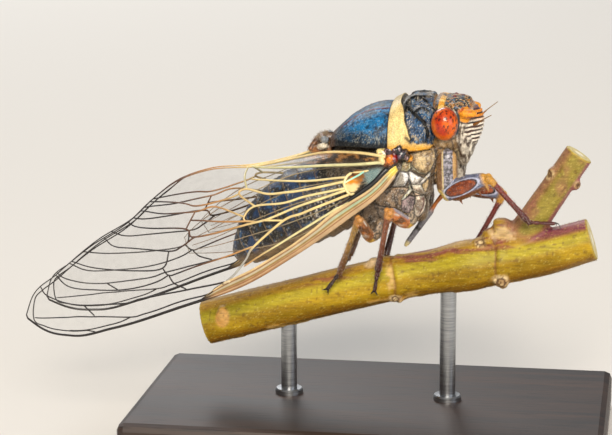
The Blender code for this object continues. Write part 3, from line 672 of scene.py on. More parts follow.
@dataclass(frozen=True)
class PaintedCuticle(Finish):
    """Insect cuticle, a chitin laminate: a coloured body under a waxy film, so satin with fine pits."""

    rough: float = 0.4
    grain_mm: float = 0.12
    bump_mm: float = 0.012
    coat: float = 0.0
    down: float = 0.0
    speck: float = 0.35
    frost: float = 0.0
    shine: float = 0.5

    def fill(self, tree: bpy.types.NodeTree, shader: bpy.types.Node) -> None:
        """Painted tint, darkened between grains, over a pitted bump."""
        place = self.place(tree)
        tint = add_node(tree, "ShaderNodeAttribute", attribute_name="tint").outputs["Color"]
        grains = add_node(
            tree, "ShaderNodeTexVoronoi", {"Vector": place, "Scale": 1000 / self.grain_mm}, feature="F1"
        ).outputs["Distance"]
        cloud = add_node(
            tree,
            "ShaderNodeTexNoise",
            {"Vector": place, "Scale": 1000 / (self.grain_mm * 4), "Detail": 3.0},
        ).outputs["Fac"]
        shade = add_node(
            tree,
            "ShaderNodeMapRange",
            {
                "Value": grains,
                "From Min": 0.15,
                "From Max": 0.75,
                "To Min": 1.0 + self.speck * 0.4,
                "To Max": 1.0 - self.speck,
            },
        ).outputs["Result"]
        patch = add_node(
            tree,
            "ShaderNodeMapRange",
            {"Value": cloud, "From Min": 0.3, "From Max": 0.7, "To Min": 0.82, "To Max": 1.12},
        ).outputs["Result"]
        both = add_node(tree, "ShaderNodeMath", {0: shade, 1: patch}, operation="MULTIPLY").outputs["Value"]
        colour = add_node(
            tree, "ShaderNodeVectorMath", {0: tint, "Scale": both}, operation="SCALE"
        ).outputs["Vector"]
        if self.frost:
            # Real wax grains are about 0.02 mm across, drawn at 0.07 mm so that they show.
            dots = add_node(
                tree, "ShaderNodeTexVoronoi", {"Vector": place, "Scale": 1000 / 0.17}, feature="F1"
            ).outputs["Distance"]
            share = add_node(
                tree,
                "ShaderNodeMapRange",
                {"Value": dots, "From Min": 0.2, "From Max": 0.34, "To Min": self.frost, "To Max": 0.0},
            ).outputs["Result"]
            thin = add_node(
                tree, "ShaderNodeMapRange", {"Value": cloud, "From Min": 0.42, "From Max": 0.6}
            ).outputs["Result"]
            share = add_node(tree, "ShaderNodeMath", {0: share, 1: thin}, operation="MULTIPLY").outputs["Value"]
            colour = add_node(
                tree, "ShaderNodeMix", {"Factor": share, 6: colour, 7: (*linear("CFC8B8"), 1.0)}, data_type="RGBA"
            ).outputs[2]
        gloss = add_node(
            tree,
            "ShaderNodeMapRange",
            {"Value": cloud, "To Min": self.rough - 0.08, "To Max": self.rough + 0.1},
        ).outputs["Result"]
        bump = add_node(
            tree,
            "ShaderNodeBump",
            {"Height": grains, "Distance": self.bump_mm * MM, "Strength": 0.8},
            invert=True,
        ).outputs["Normal"]
        self.settle(
            shader,
            Base_Color=colour,
            Roughness=gloss,
            Normal=bump,
            IOR=1.56,
            Specular_IOR_Level=self.shine,
            Coat_Weight=self.coat,
            Coat_Roughness=0.12,
            Sheen_Weight=self.down,
            Sheen_Roughness=0.4,
        )


@dataclass(frozen=True)
class ClearMembrane(Finish):
    """Wing membrane, two bare layers of cuticle a few hundredths of a millimetre thick: clear, with a thin gloss."""

    thin: float = 0.04

    def fill(self, tree: bpy.types.NodeTree, shader: bpy.types.Node) -> None:
        """Painted tint, see-through except where the painted cover is high."""
        place = self.place(tree)
        tint = add_node(tree, "ShaderNodeAttribute", attribute_name="tint").outputs["Color"]
        cover = add_node(tree, "ShaderNodeAttribute", attribute_name="cover").outputs["Fac"]
        # Real wrinkles are about 0.05 mm apart, drawn at 0.6 mm so that they show.
        wrinkles = add_node(
            tree, "ShaderNodeTexNoise", {"Vector": place, "Scale": 1000 / 0.6, "Detail": 4.0}
        ).outputs["Fac"]
        film = add_node(
            tree,
            "ShaderNodeMapRange",
            {
                "Value": wrinkles,
                "From Min": 0.35,
                "From Max": 0.7,
                "To Min": self.thin * 0.75,
                "To Max": self.thin * 1.3,
            },
        ).outputs["Result"]
        alpha = add_node(
            tree, "ShaderNodeMath", {0: film, 1: cover}, operation="ADD", use_clamp=True
        ).outputs["Value"]
        bump = add_node(
            tree, "ShaderNodeBump", {"Height": wrinkles, "Distance": 0.03 * MM, "Strength": 0.6}
        ).outputs["Normal"]
        self.settle(shader, Base_Color=tint, Alpha=alpha, Normal=bump, IOR=1.5, Roughness=0.35)
        self.settle(shader, Specular_IOR_Level=0.3, Coat_Weight=0.1, Coat_Roughness=0.2)


@dataclass(frozen=True)
class PlainFloor(Finish):
    """Matt studio paper, which gives a soft shadow and no gloss."""

    def fill(self, tree: bpy.types.NodeTree, shader: bpy.types.Node) -> None:
        """Even pale colour with a faint tooth."""
        tooth = add_node(
            tree, "ShaderNodeTexNoise", {"Vector": self.place(tree), "Scale": 1000 / 0.8, "Detail": 2.0}
        ).outputs["Fac"]
        bump = add_node(
            tree, "ShaderNodeBump", {"Height": tooth, "Distance": 0.01 * MM, "Strength": 0.3}
        ).outputs["Normal"]
        self.settle(shader, Normal=bump, Base_Color=(*linear("E6E3DD"), 1.0), Roughness=0.9)


@dataclass(frozen=True)
class FineSetae(Finish):
    """Insect hair, a thin hollow shaft of chitin: pale and half clear, with a silky gloss."""

    def fill(self, tree: bpy.types.NodeTree, shader: bpy.types.Node) -> None:
        """Painted tint with a slow change from tuft to tuft."""
        tint = add_node(tree, "ShaderNodeAttribute", attribute_name="tint").outputs["Color"]
        cloud = add_node(
            tree, "ShaderNodeTexNoise", {"Vector": self.place(tree), "Scale": 1000 / 0.5, "Detail": 2.0}
        ).outputs["Fac"]
        shade = add_node(
            tree,
            "ShaderNodeMapRange",
            {"Value": cloud, "From Min": 0.3, "From Max": 0.7, "To Min": 0.75, "To Max": 1.2},
        ).outputs["Result"]
        colour = add_node(
            tree, "ShaderNodeVectorMath", {0: tint, "Scale": shade}, operation="SCALE"
        ).outputs["Vector"]
        gloss = add_node(
            tree, "ShaderNodeMapRange", {"Value": cloud, "To Min": 0.35, "To Max": 0.55}
        ).outputs["Result"]
        self.settle(shader, Base_Color=colour, Roughness=gloss, IOR=1.55)


@dataclass(frozen=True)
class Coat:
    """Fine hairs of one region, grown on a skin before it becomes a piece.

    Real hairs are 0.01 to 0.02 mm thick, drawn at up to 0.045 mm so that they show.
    """

    name: str
    count: int
    length: float
    lie: tuple[float, float, float]
    thick: float = 0.034
    stand: float = 0.35
    pale: str = "EFE6D2"
    share: float = 0.6
    seed: int = 1

    def roots(self, skin: Skin, where: Array, draw: np.random.Generator) -> tuple[Array, Array]:
        """Draw root corners of the skin, by area and by where the hairs grow.

        Args:
            skin: The skin.
            where: Density at each of its corners, from 0 to 1.
            draw: Source of random numbers.

        Returns:
            Corner numbers and small shifts from them.
        """
        areas = read_values(skin.mesh.polygons, "area")
        starts = read_values(skin.mesh.polygons, "loop_start", 1, np.int32)
        corners = read_values(skin.mesh.loops, "vertex_index", 1, np.int32)
        first, second = corners[starts], corners[starts + 2]
        weight = areas * np.clip(where[first], 0, 1)
        faces = draw.choice(len(areas), self.count, p=weight / weight.sum())
        t = draw.random((self.count, 1))
        points = skin.points
        shift = (points[second[faces]] - points[first[faces]]) * t
        return first[faces], shift

    def grow(self, skin: Skin, slot: str, where: Array | None = None) -> None:
        """Make the hairs as thin three-sided tapers, and put them in the scene.

        Args:
            skin: Skin that they grow on, in millimetres.
            slot: The record's material slot of that skin.
            where: Density at each of its corners, or None for all over.
        """
        draw = np.random.default_rng(self.seed)
        where = np.ones(len(skin.points)) if where is None else where
        root, shift = self.roots(skin, where, draw)
        normal, tints, atlas = skin.normals[root], skin.tints[root], skin.atlas()[root]
        base = skin.points[root] + shift
        aim = np.array(self.lie) + 0.35 * draw.normal(size=(self.count, 3))
        aim -= normal * (aim * normal).sum(axis=1, keepdims=True)
        aim /= np.linalg.norm(aim, axis=1, keepdims=True) + 1e-9
        side = np.cross(normal, aim)
        length = (self.length * draw.uniform(0.6, 1.25, self.count))[:, None]
        rise = (self.stand * draw.uniform(0.6, 1.4, self.count))[:, None]
        up = np.clip(rise, 0.05, 1.4)
        middle = base + length * 0.55 * (aim * np.cos(up) + normal * np.sin(up))
        tip = middle + length * 0.45 * (aim * np.cos(up * 0.45) + normal * np.sin(up * 0.45))
        rings = []
        for centre, radius in ((base - normal * 0.03, self.thick * 0.55), (middle, self.thick * 0.42)):
            for turn in (0.0, 2.094, 4.189):
                rings.append(centre + radius * (math.cos(turn) * side + math.sin(turn) * normal))
        points = np.stack([*rings, tip], axis=1).reshape(-1, 3)
        shape = ((2, 1, 0), (0, 1, 4, 3), (1, 2, 5, 4), (2, 0, 3, 5), (3, 4, 6), (4, 5, 6), (5, 3, 6))
        faces = [tuple(k * 7 + i for i in face) for k in range(self.count) for face in shape]
        made = Skin(self.name, points, faces)
        bright = mixed(tints, linear(self.pale), draw.uniform(0.4, 1.0, self.count) * self.share)
        shades = np.stack([*(mixed(tints, bright, 0.3),) * 3, *(bright,) * 4], axis=1)
        made.paint(shades.reshape(-1, 3))
        # Each hair is a patch 0.003 across at its root's place on the unwrap.
        patch = np.array(((0, 0), (0.5, 0), (1, 0), (0, 0.5), (0.5, 0.5), (1, 0.5), (0.5, 1))) * 0.003 - 0.0015
        places = (atlas[:, None, :] + patch).reshape(-1, 2)
        corners = read_values(made.mesh.loops, "vertex_index", 1, np.int32)
        layer = made.mesh.uv_layers.new(name="OFBake")
        layer.data.foreach_set("uv", places[corners].astype(np.float32).ravel())
        made.piece(FineSetae("seta_chitin_silky"), slot)


# -------------------------------------------------------------- wings


@dataclass(frozen=True)
class WingPlan:
    """Where the forewing's middle surface lies.

    a runs from the hinge to the tip along a line that slopes down to the rear,
    h is square to it and up, and v goes from the leading edge, 0, to the inner
    margin, 1.
    """

    hinge: tuple[float, float] = (2.2, 23.4)
    slope: float = math.radians(25.67)
    costa: Rows = (
        (0.0, -4.75, -0.65),
        (1.6, -5.2, -1.5),
        (5.2, -5.55, -2.45),
        (10.7, -5.7, -3.48),
        (15.4, -5.65, -3.98),
        (20.7, -5.4, -3.62),
        (26.8, -4.75, -3.05),
        (30.3, -4.3, -2.3),
        (32.7, -3.6, -0.65),
        (33.4, -3.2, 0.3),
    )
    margin: Rows = (
        (0.0, -4.55, 0.15),
        (1.7, -4.25, 1.3),
        (3.2, -3.4, 1.95),
        (5.2, -2.2, 2.6),
        (7.8, -0.75, 3.0),
        (11.3, -0.35, 3.75),
        (15.0, -0.35, 5.05),
        (17.4, -0.35, 5.3),
        (20.5, -0.5, 4.7),
        (22.7, -0.8, 3.95),
        (26.6, -1.4, 3.4),
        (29.9, -2.1, 2.55),
        (32.5, -2.8, 1.65),
        (33.4, -3.1, 0.65),
    )
    vault: Rows = (
        (0.0, 0.0),
        (2.0, 0.3),
        (5.0, 1.1),
        (8.0, 2.0),
        (12.0, 2.15),
        (16.0, 1.5),
        (20.0, 0.9),
        (26.0, 0.5),
        (33.4, 0.05),
    )
    band: Rows = (
        (0.0, 0.42), (2.1, 0.21), (4.3, 0.145), (6.2, 0.12), (7.6, 0.088), (9.5, 0.068), (13.0, 0.062),
        (16.9, 0.054), (18.7, 0.01),
    )

    @property
    def length(self) -> float:
        """From the hinge to the tip."""
        return self.costa[-1][0]

    def point(self, a: Array, v: Array, lift: Array | float = 0.0) -> Array:
        """Points of the right wing.

        Args:
            a: Places along the wing.
            v: Places across it.
            lift: Distance outwards from its middle surface.

        Returns:
            World points, on a new last axis.
        """
        low, high = SmoothTable(self.costa)(a), SmoothTable(self.margin)(a)
        chord = high - low
        square = np.stack([-chord[..., 1], chord[..., 0]], axis=-1)
        square /= np.linalg.norm(square, axis=-1, keepdims=True)
        rise = SmoothTable(self.vault)(a)[..., 0] * 4 * v * (1 - v) + lift
        across = low + chord * np.asarray(v)[..., None] + square * rise[..., None]
        c, s = math.cos(self.slope), math.sin(self.slope)
        a = np.asarray(a, float)
        return np.stack(
            [self.hinge[0] - c * a - s * across[..., 1], across[..., 0], self.hinge[1] - s * a + c * across[..., 1]],
            axis=-1,
        )

    def normal(self, a: Array, v: Array) -> Array:
        """Outward direction of the right wing at each place."""
        a0, a1 = np.maximum(a - 0.2, 0.0), np.minimum(a + 0.2, self.length)
        v0, v1 = np.maximum(v - 0.01, 0.0), np.minimum(v + 0.01, 1.0)
        cross = np.cross(self.point(a1, v) - self.point(a0, v), self.point(a, v1) - self.point(a, v0))
        cross /= np.linalg.norm(cross, axis=-1, keepdims=True) + 1e-12
        return np.where(cross[..., 1:2] > 0, -cross, cross)

    def width(self, a: Array) -> Array:
        """Length of the wing's section at each a."""
        steps = np.linspace(0.0, self.length, 150)
        arcs = self.point(steps[:, None] + np.zeros(9), np.linspace(0, 1, 9)[None, :] + np.zeros((150, 1)))
        lengths = np.linalg.norm(np.diff(arcs, axis=1), axis=2).sum(axis=1)
        return np.interp(a, steps, lengths)

    def flat(self, a: Array, v: Array) -> Array:
        """Flat coordinates of places on the wing, close to true lengths."""
        return np.stack([a, (v - 0.4) * self.width(a)], axis=-1)

    def rolled(self, flat: Array) -> tuple[Array, Array]:
        """Places a and v of flat coordinates."""
        a = np.clip(flat[..., 0], 0.0, self.length)
        return a, np.clip(flat[..., 1] / self.width(a) + 0.4, 0.0, 1.0)


class EdgeVein(Enum):
    """Veins beyond the numbered ones, with the seed of each one's tone."""

    LEADING = 50
    INNER = 51
    TIP_LOOP = 52
    TIP = 53
    HIND_FIRST = 60
    HIND_END = 70


@dataclass(frozen=True)
class Vein:
    """One vein: its radius at its start and end in millimetres, and places (a, v) that it passes through."""

    start: float
    end: float
    places: Rows


@dataclass
class Wings:
    """Both pairs of wings: clear membranes on raised veins, with a stiff leading band."""

    plan: WingPlan = field(default_factory=WingPlan)
    thick: float = 0.05
    rows: int = 230
    columns: int = 84
    hind_drop: float = 0.62
    hind_reach: float = 18.5
    veins: dict[str, Vein] = field(
        default_factory=lambda: {
            "black_bar": Vein(
                0.24, 0.10, ((0.75, 0.46), (1.3, 0.37), (2.1, 0.275), (3.2, 0.22), (4.5, 0.175), (5.6, 0.155))
            ),
            "root_knob": Vein(0.26, 0.22, ((0.85, 0.99), (1.0, 0.85), (0.9, 0.68))),
            "R": Vein(
                0.11, 0.07, ((4.5, 0.17), (5.4, 0.152), (6.9, 0.134), (8.7, 0.124), (12.2, 0.12), (14.4, 0.11))
            ),
            "basal_cell": Vein(
                0.12, 0.10, ((3.5, 0.57), (3.95, 0.52), (4.35, 0.42), (4.4, 0.32), (4.25, 0.24), (3.9, 0.23))
            ),
            "basal_green": Vein(0.09, 0.08, ((2.5, 0.57), (3.0, 0.51), (3.7, 0.46), (4.5, 0.41))),
            "basal_top": Vein(0.09, 0.07, ((2.2, 0.56), (2.8, 0.56), (3.5, 0.57))),
            "M1_2": Vein(0.11, 0.08, (
                (4.3, 0.24), (8.0, 0.24), (9.9, 0.26), (13.0, 0.195), (14.0, 0.145), (15.4, 0.09), (16.3, 0.068),
            )),
            "M3_4": Vein(0.11, 0.065, (
                (4.4, 0.31), (8.0, 0.31), (11.4, 0.34), (12.8, 0.40), (14.5, 0.47), (16.2, 0.55), (17.3, 0.60),
            )),
            "M_cross": Vein(0.075, 0.075, ((9.9, 0.26), (11.4, 0.34))),
            "M4": Vein(0.10, 0.08, ((4.4, 0.34), (7.7, 0.38), (9.4, 0.40), (11.7, 0.49), (12.8, 0.44), (12.8, 0.40))),
            "M4_outer": Vein(0.08, 0.055, ((12.8, 0.44), (14.9, 0.62), (16.7, 0.65), (19.4, 0.78), (21.6, 1.0))),
            "M3": Vein(0.09, 0.055, (
                (11.4, 0.34), (13.3, 0.38), (17.4, 0.46), (17.9, 0.55), (20.7, 0.73), (22.2, 0.88), (22.9, 1.0),
            )),
            "M3_cross": Vein(0.06, 0.06, ((17.9, 0.55), (16.7, 0.65))),
            "M2": Vein(
                0.07, 0.05, ((17.4, 0.46), (18.7, 0.44), (19.9, 0.46), (22.8, 0.69), (24.5, 0.84), (25.2, 1.0))
            ),
            "M1": Vein(0.065, 0.05, ((19.9, 0.46), (20.9, 0.36), (23.3, 0.48), (26.6, 0.73), (28.4, 1.0))),
            "CuA": Vein(0.11, 0.08, (
                (4.3, 0.44), (7.5, 0.45), (9.2, 0.50), (10.5, 0.56), (12.0, 0.69), (12.7, 0.66), (11.7, 0.49),
            )),
            "CuA1": Vein(0.08, 0.055, ((12.7, 0.66), (13.9, 0.65), (16.4, 0.69), (17.6, 0.77), (20.6, 1.0))),
            "CuA2": Vein(0.085, 0.07, ((12.0, 0.69), (12.1, 0.85), (11.9, 1.0))),
            "CuP": Vein(0.10, 0.07, ((4.0, 0.50), (7.7, 0.57), (11.6, 0.80))),
            "A1": Vein(0.14, 0.08, ((0.9, 0.68), (1.6, 0.73), (5.3, 0.74), (8.3, 0.81), (11.7, 1.0))),
            "RP": Vein(0.07, 0.06, ((13.0, 0.20), (15.9, 0.23), (19.6, 0.26), (20.6, 0.28), (20.9, 0.36))),
            "RP_outer": Vein(
                0.06, 0.05, ((20.6, 0.28), (21.9, 0.28), (24.9, 0.36), (27.5, 0.52), (29.2, 0.72), (30.0, 1.0))
            ),
            "RP_cross": Vein(0.06, 0.06, ((20.6, 0.28), (20.4, 0.2), (19.6, 0.12))),
            "node": Vein(0.13, 0.10, ((15.9, 0.06), (16.3, 0.064), (16.7, 0.06))),
            "RA1": Vein(0.075, 0.05, (
                (16.3, 0.068), (17.2, 0.078), (18.3, 0.094), (20.3, 0.125), (21.9, 0.16), (23.6, 0.20), (25.1, 0.22),
                (28.4, 0.38), (31.0, 0.72), (31.5, 1.0),
            )),
            "RA_cross": Vein(0.055, 0.055, ((28.4, 0.38), (27.8, 0.20))),
            "RA2": Vein(0.065, 0.05, (
                (16.6, 0.062), (17.3, 0.052), (18.2, 0.03), (20.3, 0.045), (23.6, 0.052), (24.9, 0.065),
                (27.8, 0.19), (29.7, 0.29), (32.8, 0.36),
            )),
            "RA2_low": Vein(0.055, 0.05, ((24.9, 0.065), (26.2, 0.048), (28.4, 0.06), (30.3, 0.09))),
        }
    )

    # Veins with tones of their own: near the body, further out, and where one turns to the other.
    own_tones: ClassVar[dict[str, tuple[str, str, float, float]]] = {
        "black_bar": ("0B0B0E", "4A2A1E", 4.4, 5.6),
        "basal_green": ("9EDCC6", "D8E2A8", 3.4, 4.4),
        "node": ("D8C49C", "1D1512", 16.4, 16.7),
        "RA1": ("3A2820", "1D1512", 16.4, 17.2),
        "RA2": ("3A2820", "1D1512", 16.4, 17.2),
        "M1_2": ("EBCF8E", "A9A79E", 12.6, 13.8),
    }

    def vein_colour(self, a: Array, seed: int) -> Array:
        """Colour along a vein, cream near the body, then orange-brown, then near black.

        Args:
            a: Places along the wing.
            seed: The vein's number, which sets a little where it turns dark.

        Returns:
            One colour a place.
        """
        for number, name in enumerate(self.veins):
            if number == seed and name in self.own_tones:
                near, far, low, high = self.own_tones[name]
                return mixed(near, far, ease(a, low, high))
        if seed == EdgeVein.LEADING.value:
            return layered("BA9C74", ("98714A", ease(a, 6.0, 13.0)), ("1D1512", ease(a, 17.0, 18.6)))
        shift = (hashed(np.array((seed, 3, 5)), 7) - 0.5) * 1.6
        cool = hashed(np.array((seed, 8, 2)), 4)
        start = mixed("EBCF8E", "C9D2A4", np.full(len(a), cool * 0.7))
        colours = layered(
            start,
            ("B4824C", ease(a + shift, 10.5, 14.8)),
            ("63402A", ease(a + shift, 14.6, 17.4)),
        )
        return mixed(colours, "1D1512", ease(a + shift, 16.4, 19.8))

    def vein_skins(self) -> list[Skin]:
        """Tubes of all veins of the right forewing."""
        made = []
        for number, vein in enumerate(self.veins.values()):
            corners = np.array(vein.places)
            line = rounded_line(self.plan.flat(corners[:, 0], corners[:, 1]), 0.14)
            a, v = self.plan.rolled(line)
            made.append(self.vein_tube(a, v, np.linspace(vein.start, vein.end, len(a)), number))
        made += self.rim_skins()
        return made

    def vein_tube(self, a: Array, v: Array, radii: Array, number: int, lift: float = 0.02) -> Skin:
        """Tube along places of the wing, flattened on to it and closed by round ends."""
        radii = radii.copy()
        radii[0] *= 0.4
        radii[-1] *= 0.4
        points = self.plan.point(a, v, lift)
        grid = tube(points, radii, 9, 1.0, self.plan.normal(a[0], v[0]))
        skin = Skin.of_grid("vein", grid)
        colours = np.repeat(self.vein_colour(a, number), 9, axis=0)
        skin.paint(np.vstack([colours, colours[:1], colours[-1:]]))
        return skin

    def rim_skins(self) -> list[Skin]:
        """Veins along the edges: the leading edge, the inner margin, the tip and the loop inside it."""
        length = self.plan.length
        a = length * np.sin(np.linspace(0.012, math.pi / 2, 260))
        lead = self.vein_tube(a, np.zeros(260) + 0.004, np.linspace(0.15, 0.075, 260), EdgeVein.LEADING.value)
        a = 0.6 + (length - 0.6) * np.sin(np.linspace(0.0, math.pi / 2, 240))
        inner_radii = np.interp(a, (0, 11.5, 13, length), (0.14, 0.10, 0.05, 0.045))
        inner = self.vein_tube(a, np.zeros(240) + 0.996, inner_radii, EdgeVein.INNER.value)
        across = np.linspace(0.004, 0.996, 24)
        tip = self.vein_tube(np.full(24, length), across, np.linspace(0.075, 0.05, 24), EdgeVein.TIP.value)
        # The loop inside the tip stays 0.4 mm from the edge.
        a = np.linspace(17.0, length - 0.5, 120)
        inset = 0.42 / self.plan.width(a)
        upper = self.plan.flat(a, 1 - inset * ease(a, 16.9, 18.5))
        lower = self.plan.flat(a[::-1][:40], (inset * ease(a, 27.7, 29.2))[::-1][:40])
        round_tip = rounded_line(np.vstack([upper[::6], lower[::5]]), 0.14)
        a, v = self.plan.rolled(round_tip)
        loop = self.vein_tube(a, v, np.full(len(a), 0.05), EdgeVein.TIP_LOOP.value)
        return [lead, inner, tip, loop]

    def membrane(self) -> Skin:
        """Thin closed sheet of the right forewing, pleated between its veins."""
        plan = self.plan
        s = np.linspace(0, 1, self.rows)
        a = plan.length * np.sin(s * math.pi / 2)
        a, v = np.meshgrid(a, np.linspace(0, 1, self.columns), indexing="ij")
        flat = plan.flat(a, v).reshape(-1, 2)
        nearest = np.full(len(flat), 9.0)
        for vein in self.veins.values():
            corners = np.array(vein.places)
            line = rounded_line(plan.flat(corners[:, 0], corners[:, 1]), 0.5)
            nearest = np.minimum(nearest, line_distance(flat, line))
        space = np.column_stack([flat, np.zeros(len(flat))])
        swell = (1 - np.exp(-nearest / 0.35)) * (0.05 + 0.10 * (mottle(space, 2.2, 5) - 0.5))
        swell = swell.reshape(a.shape)
        upper = plan.point(a, v, swell + self.thick / 2)
        lower = plan.point(a, v, swell - self.thick / 2)
        skin = self.slab("membrane", upper, lower)
        colours = mixed("57534A", "45423C", ease(a, 6.0, 20.0))
        # Opaque spots: the orange basal cell, its dark corner and the milky root.
        cell = line_distance(flat, plan.flat(np.array((3.1, 3.95)), np.array((0.50, 0.34)))).reshape(a.shape)
        cell = cell + 0.16 * (mottle(space, 0.7, 25, 2).reshape(a.shape) - 0.5)
        root = ease(a, 3.1, 2.4) * ease(v, 0.66, 0.5) * ease(a, 0.9, 1.6)
        orange = ease(cell, 0.56, 0.46)
        blotch = mottle(space, 0.42, 55, 2).reshape(a.shape)
        patch = layered(
            "E4CB90",
            ("D4820F", ease(v - 0.04 * (a - 3.6) + 0.16 * (blotch - 0.5), 0.35, 0.40)),
            # Painted highlight: pale blotches on the orange basal cell.
            ("F0DCA6", ease(blotch, 0.62, 0.7) * 0.6),
            ("6E2E0C", ease(v, 0.36, 0.42) * ease(blotch, 0.46, 0.36) * 0.9),
            ("3C100A", ease(v, 0.41, 0.45) * ease(a + 0.5 * (blotch - 0.5), 3.6, 3.3)),
            ("8A5A28", ease(a, 3.55, 3.2) * 0.8),
        )
        dark = (
            ease(spots(space, 0.55, 63).reshape(a.shape), 0.34, 0.24)
            * ease(cell, 0.75, 0.55)
            * ease(v, 0.37, 0.43)
        )
        cover = np.maximum(np.maximum(root * 0.35, orange * 0.9), dark * 0.95)
        clavus = ease(v, 0.72, 0.84) * ease(a, 11.0, 6.0)
        grit = mottle(space, 0.3, 15, 2).reshape(a.shape)
        colours = layered(
            colours,
            ("86A7A6", root),
            (patch, orange),
            ("14080A", dark),
            (mixed("2A1A10", "C98A45", ease(grit, 0.5, 0.62)), clavus * 0.8),
        )
        cover = np.maximum(cover, clavus * 0.35)
        self.double(skin, colours)
        skin.measure("cover", np.tile(cover.ravel(), 2))
        return skin

    @staticmethod
    def slab(name: str, upper: Array, lower: Array) -> Skin:
        """Closed sheet between two grids of points."""
        rows, columns = upper.shape[:2]
        faces, total = [], rows * columns
        for i in range(rows - 1):
            for j in range(columns - 1):
                p = i * columns + j
                q = p + columns
                faces.append((p, q, q + 1, p + 1))
                faces.append((total + p + 1, total + q + 1, total + q, total + p))
        border = list(range(columns))
        border += [i * columns + columns - 1 for i in range(1, rows)]
        border += [(rows - 1) * columns + j for j in range(columns - 2, -1, -1)]
        border += [i * columns for i in range(rows - 2, 0, -1)]
        for i, p in enumerate(border):
            q = border[(i + 1) % len(border)]
            faces.append((p, q, total + q, total + p))
        return Skin(name, np.vstack([upper.reshape(-1, 3), lower.reshape(-1, 3)]), faces)

    @staticmethod
    def double(skin: Skin, colours: Array) -> None:
        """Paint both faces of a sheet alike."""
        skin.paint(np.tile(colours.reshape(-1, 3), (2, 1)))

    def band(self) -> Skin:
        """Stiff leading band of costa, subcosta and radius, ridged along its length."""
        plan = self.plan
        a, s = np.meshgrid(np.linspace(0.15, plan.band[-1][0], 280), np.linspace(0, 1, 30), indexing="ij")
        v = s * (SmoothTable(plan.band)(a)[..., 0] + 0.004)
        ridges = 0.10 * np.abs(np.cos(2.0 * math.pi * (s - 0.04))) ** 0.7 + 0.06 * (1 - s)
        skin = self.slab("band", plan.point(a, v, ridges), plan.point(a, v, ridges * 0 - 0.12))
        green = mixed("A3B592", "B4A88C", ease(a, 4.0, 9.0))
        colours = layered(
            "BC9C70",
            ("A58058", ease(a, 5.0, 14.0)),
            ("BA9C76", ease(s, 0.16, 0.05)),
            ("8A5A36", ease(np.abs(s - 0.22), 0.06, 0.03) * 0.9),
            ("8E7430", ease(np.abs(s - 0.42), 0.07, 0.03) * 0.9),
            (green, ease(np.abs(s - 0.58), 0.13, 0.08)),
            ("6E4628", ease(np.abs(s - 0.76), 0.045, 0.02) * ease(a, 1.5, 3.5) * 0.9),
            ("D4B884", ease(s, 0.80, 0.88)),
            ("E3C95C", ease(a, 1.3, 0.5)),
            ("2A1C17", ease(a, 17.6, 18.6)),
        )
        self.double(skin, colours)
        return skin

    def hind_skins(self) -> tuple[Skin, Skin]:
        """Membrane and veins of the right hindwing, folded under the forewing."""
        plan, drop = self.plan, -self.hind_drop
        s, w = np.meshgrid(np.linspace(0, 1, 110), np.linspace(0, 1, 46), indexing="ij")
        a = 1.8 + (self.hind_reach - 1.8) * np.sin(s * math.pi / 2)
        t = (a - 1.6) / (self.hind_reach - 1.6)

        def across(a: Array, w: Array) -> Array:
            """Place across the forewing of a place across the hindwing."""
            t = np.clip((a - 1.6) / (self.hind_reach - 1.6), 0, 1)
            low, high = 0.12 + 0.27 * t**3, 0.74 - 0.22 * t**3
            return low + (high - low) * w

        v = across(a, w)
        pleat = 0.05 * np.cos(w * 26)
        upper = plan.point(a, v, drop + pleat + self.thick / 2)
        lower = plan.point(a, v, drop + pleat - self.thick / 2)
        sheet = self.slab("hind_sheet", upper, lower)
        colours = mixed("5A564C", "4A463F", ease(t, 0.2, 0.9))
        self.double(sheet, colours)
        sheet.measure("cover", np.zeros(2 * a.size))
        tubes = []
        for number, place in enumerate((0.0, 0.2, 0.42, 0.66, 1.0)):
            reach = self.hind_reach - (0.0 if place in (0.0, 1.0) else 0.5)
            along = 1.9 + (reach - 1.9) * np.sin(np.linspace(0, math.pi / 2, 110))
            spread = across(along, place + 0.03 * np.sin(along * 0.5 + number))
            seed = EdgeVein.HIND_FIRST.value + number
            tubes.append(self.vein_tube(along, spread, np.linspace(0.05, 0.022, 110), seed, drop))
        edge = np.linspace(0, 1, 30)
        rim = np.full(30, self.hind_reach - 0.05)
        tubes.append(self.vein_tube(rim, across(rim, edge), np.full(30, 0.025), EdgeVein.HIND_END.value, drop))
        veins = Skin.merged("hind_veins", tubes)
        veins.paint(mixed(veins.tints, "8A7A64", np.full(len(veins.points), 0.75)))
        return sheet, veins

    def build(self) -> None:
        """Make the wings of both sides."""
        membrane = ClearMembrane("wing_membrane_chitin_bare")
        ridge = PaintedCuticle(
            "wing_vein_cuticle_satin", rough=0.38, grain_mm=0.3, bump_mm=0.004, coat=0.2, speck=0.08
        )
        sheet, veins, band = self.membrane(), Skin.merged("veins", self.vein_skins()), self.band()
        hind_sheet, hind_veins = self.hind_skins()
        parts = {
            "forewing_membrane": (sheet, membrane, "forewing"),
            "forewing_veins": (veins, ridge, "forewing"),
            "forewing_leading_band": (band, ridge, "forewing"),
            "hindwing_membrane": (hind_sheet, membrane, "hindwing"),
            "hindwing_veins": (hind_veins, ridge, "hindwing"),
        }
        for name, (skin, finish, node) in parts.items():
            for side in Side:
                copy = mirrored_skin(skin, f"{name}_{side.word}", side)
                copy.piece(finish, "wing_membrane", f"{node}_{side.word}")
            bpy.data.meshes.remove(skin.mesh)


def mirrored_skin(skin: Skin, name: str, side: Side) -> Skin:
    """Copy a skin of the right side for either side.

    Args:
        skin: Skin of the right side.
        name: Name of the copy.
        side: Side that the copy is for.

    Returns:
        The copy.
    """
    copy = Skin.__new__(Skin)
    copy.mesh = skin.mesh.copy()
    copy.mesh.name = name
    if side is Side.LEFT:
        copy.points = copy.points * (1, -1, 1)
        copy.mesh.flip_normals()
    return copy


# --------------------------------------------------------------- body


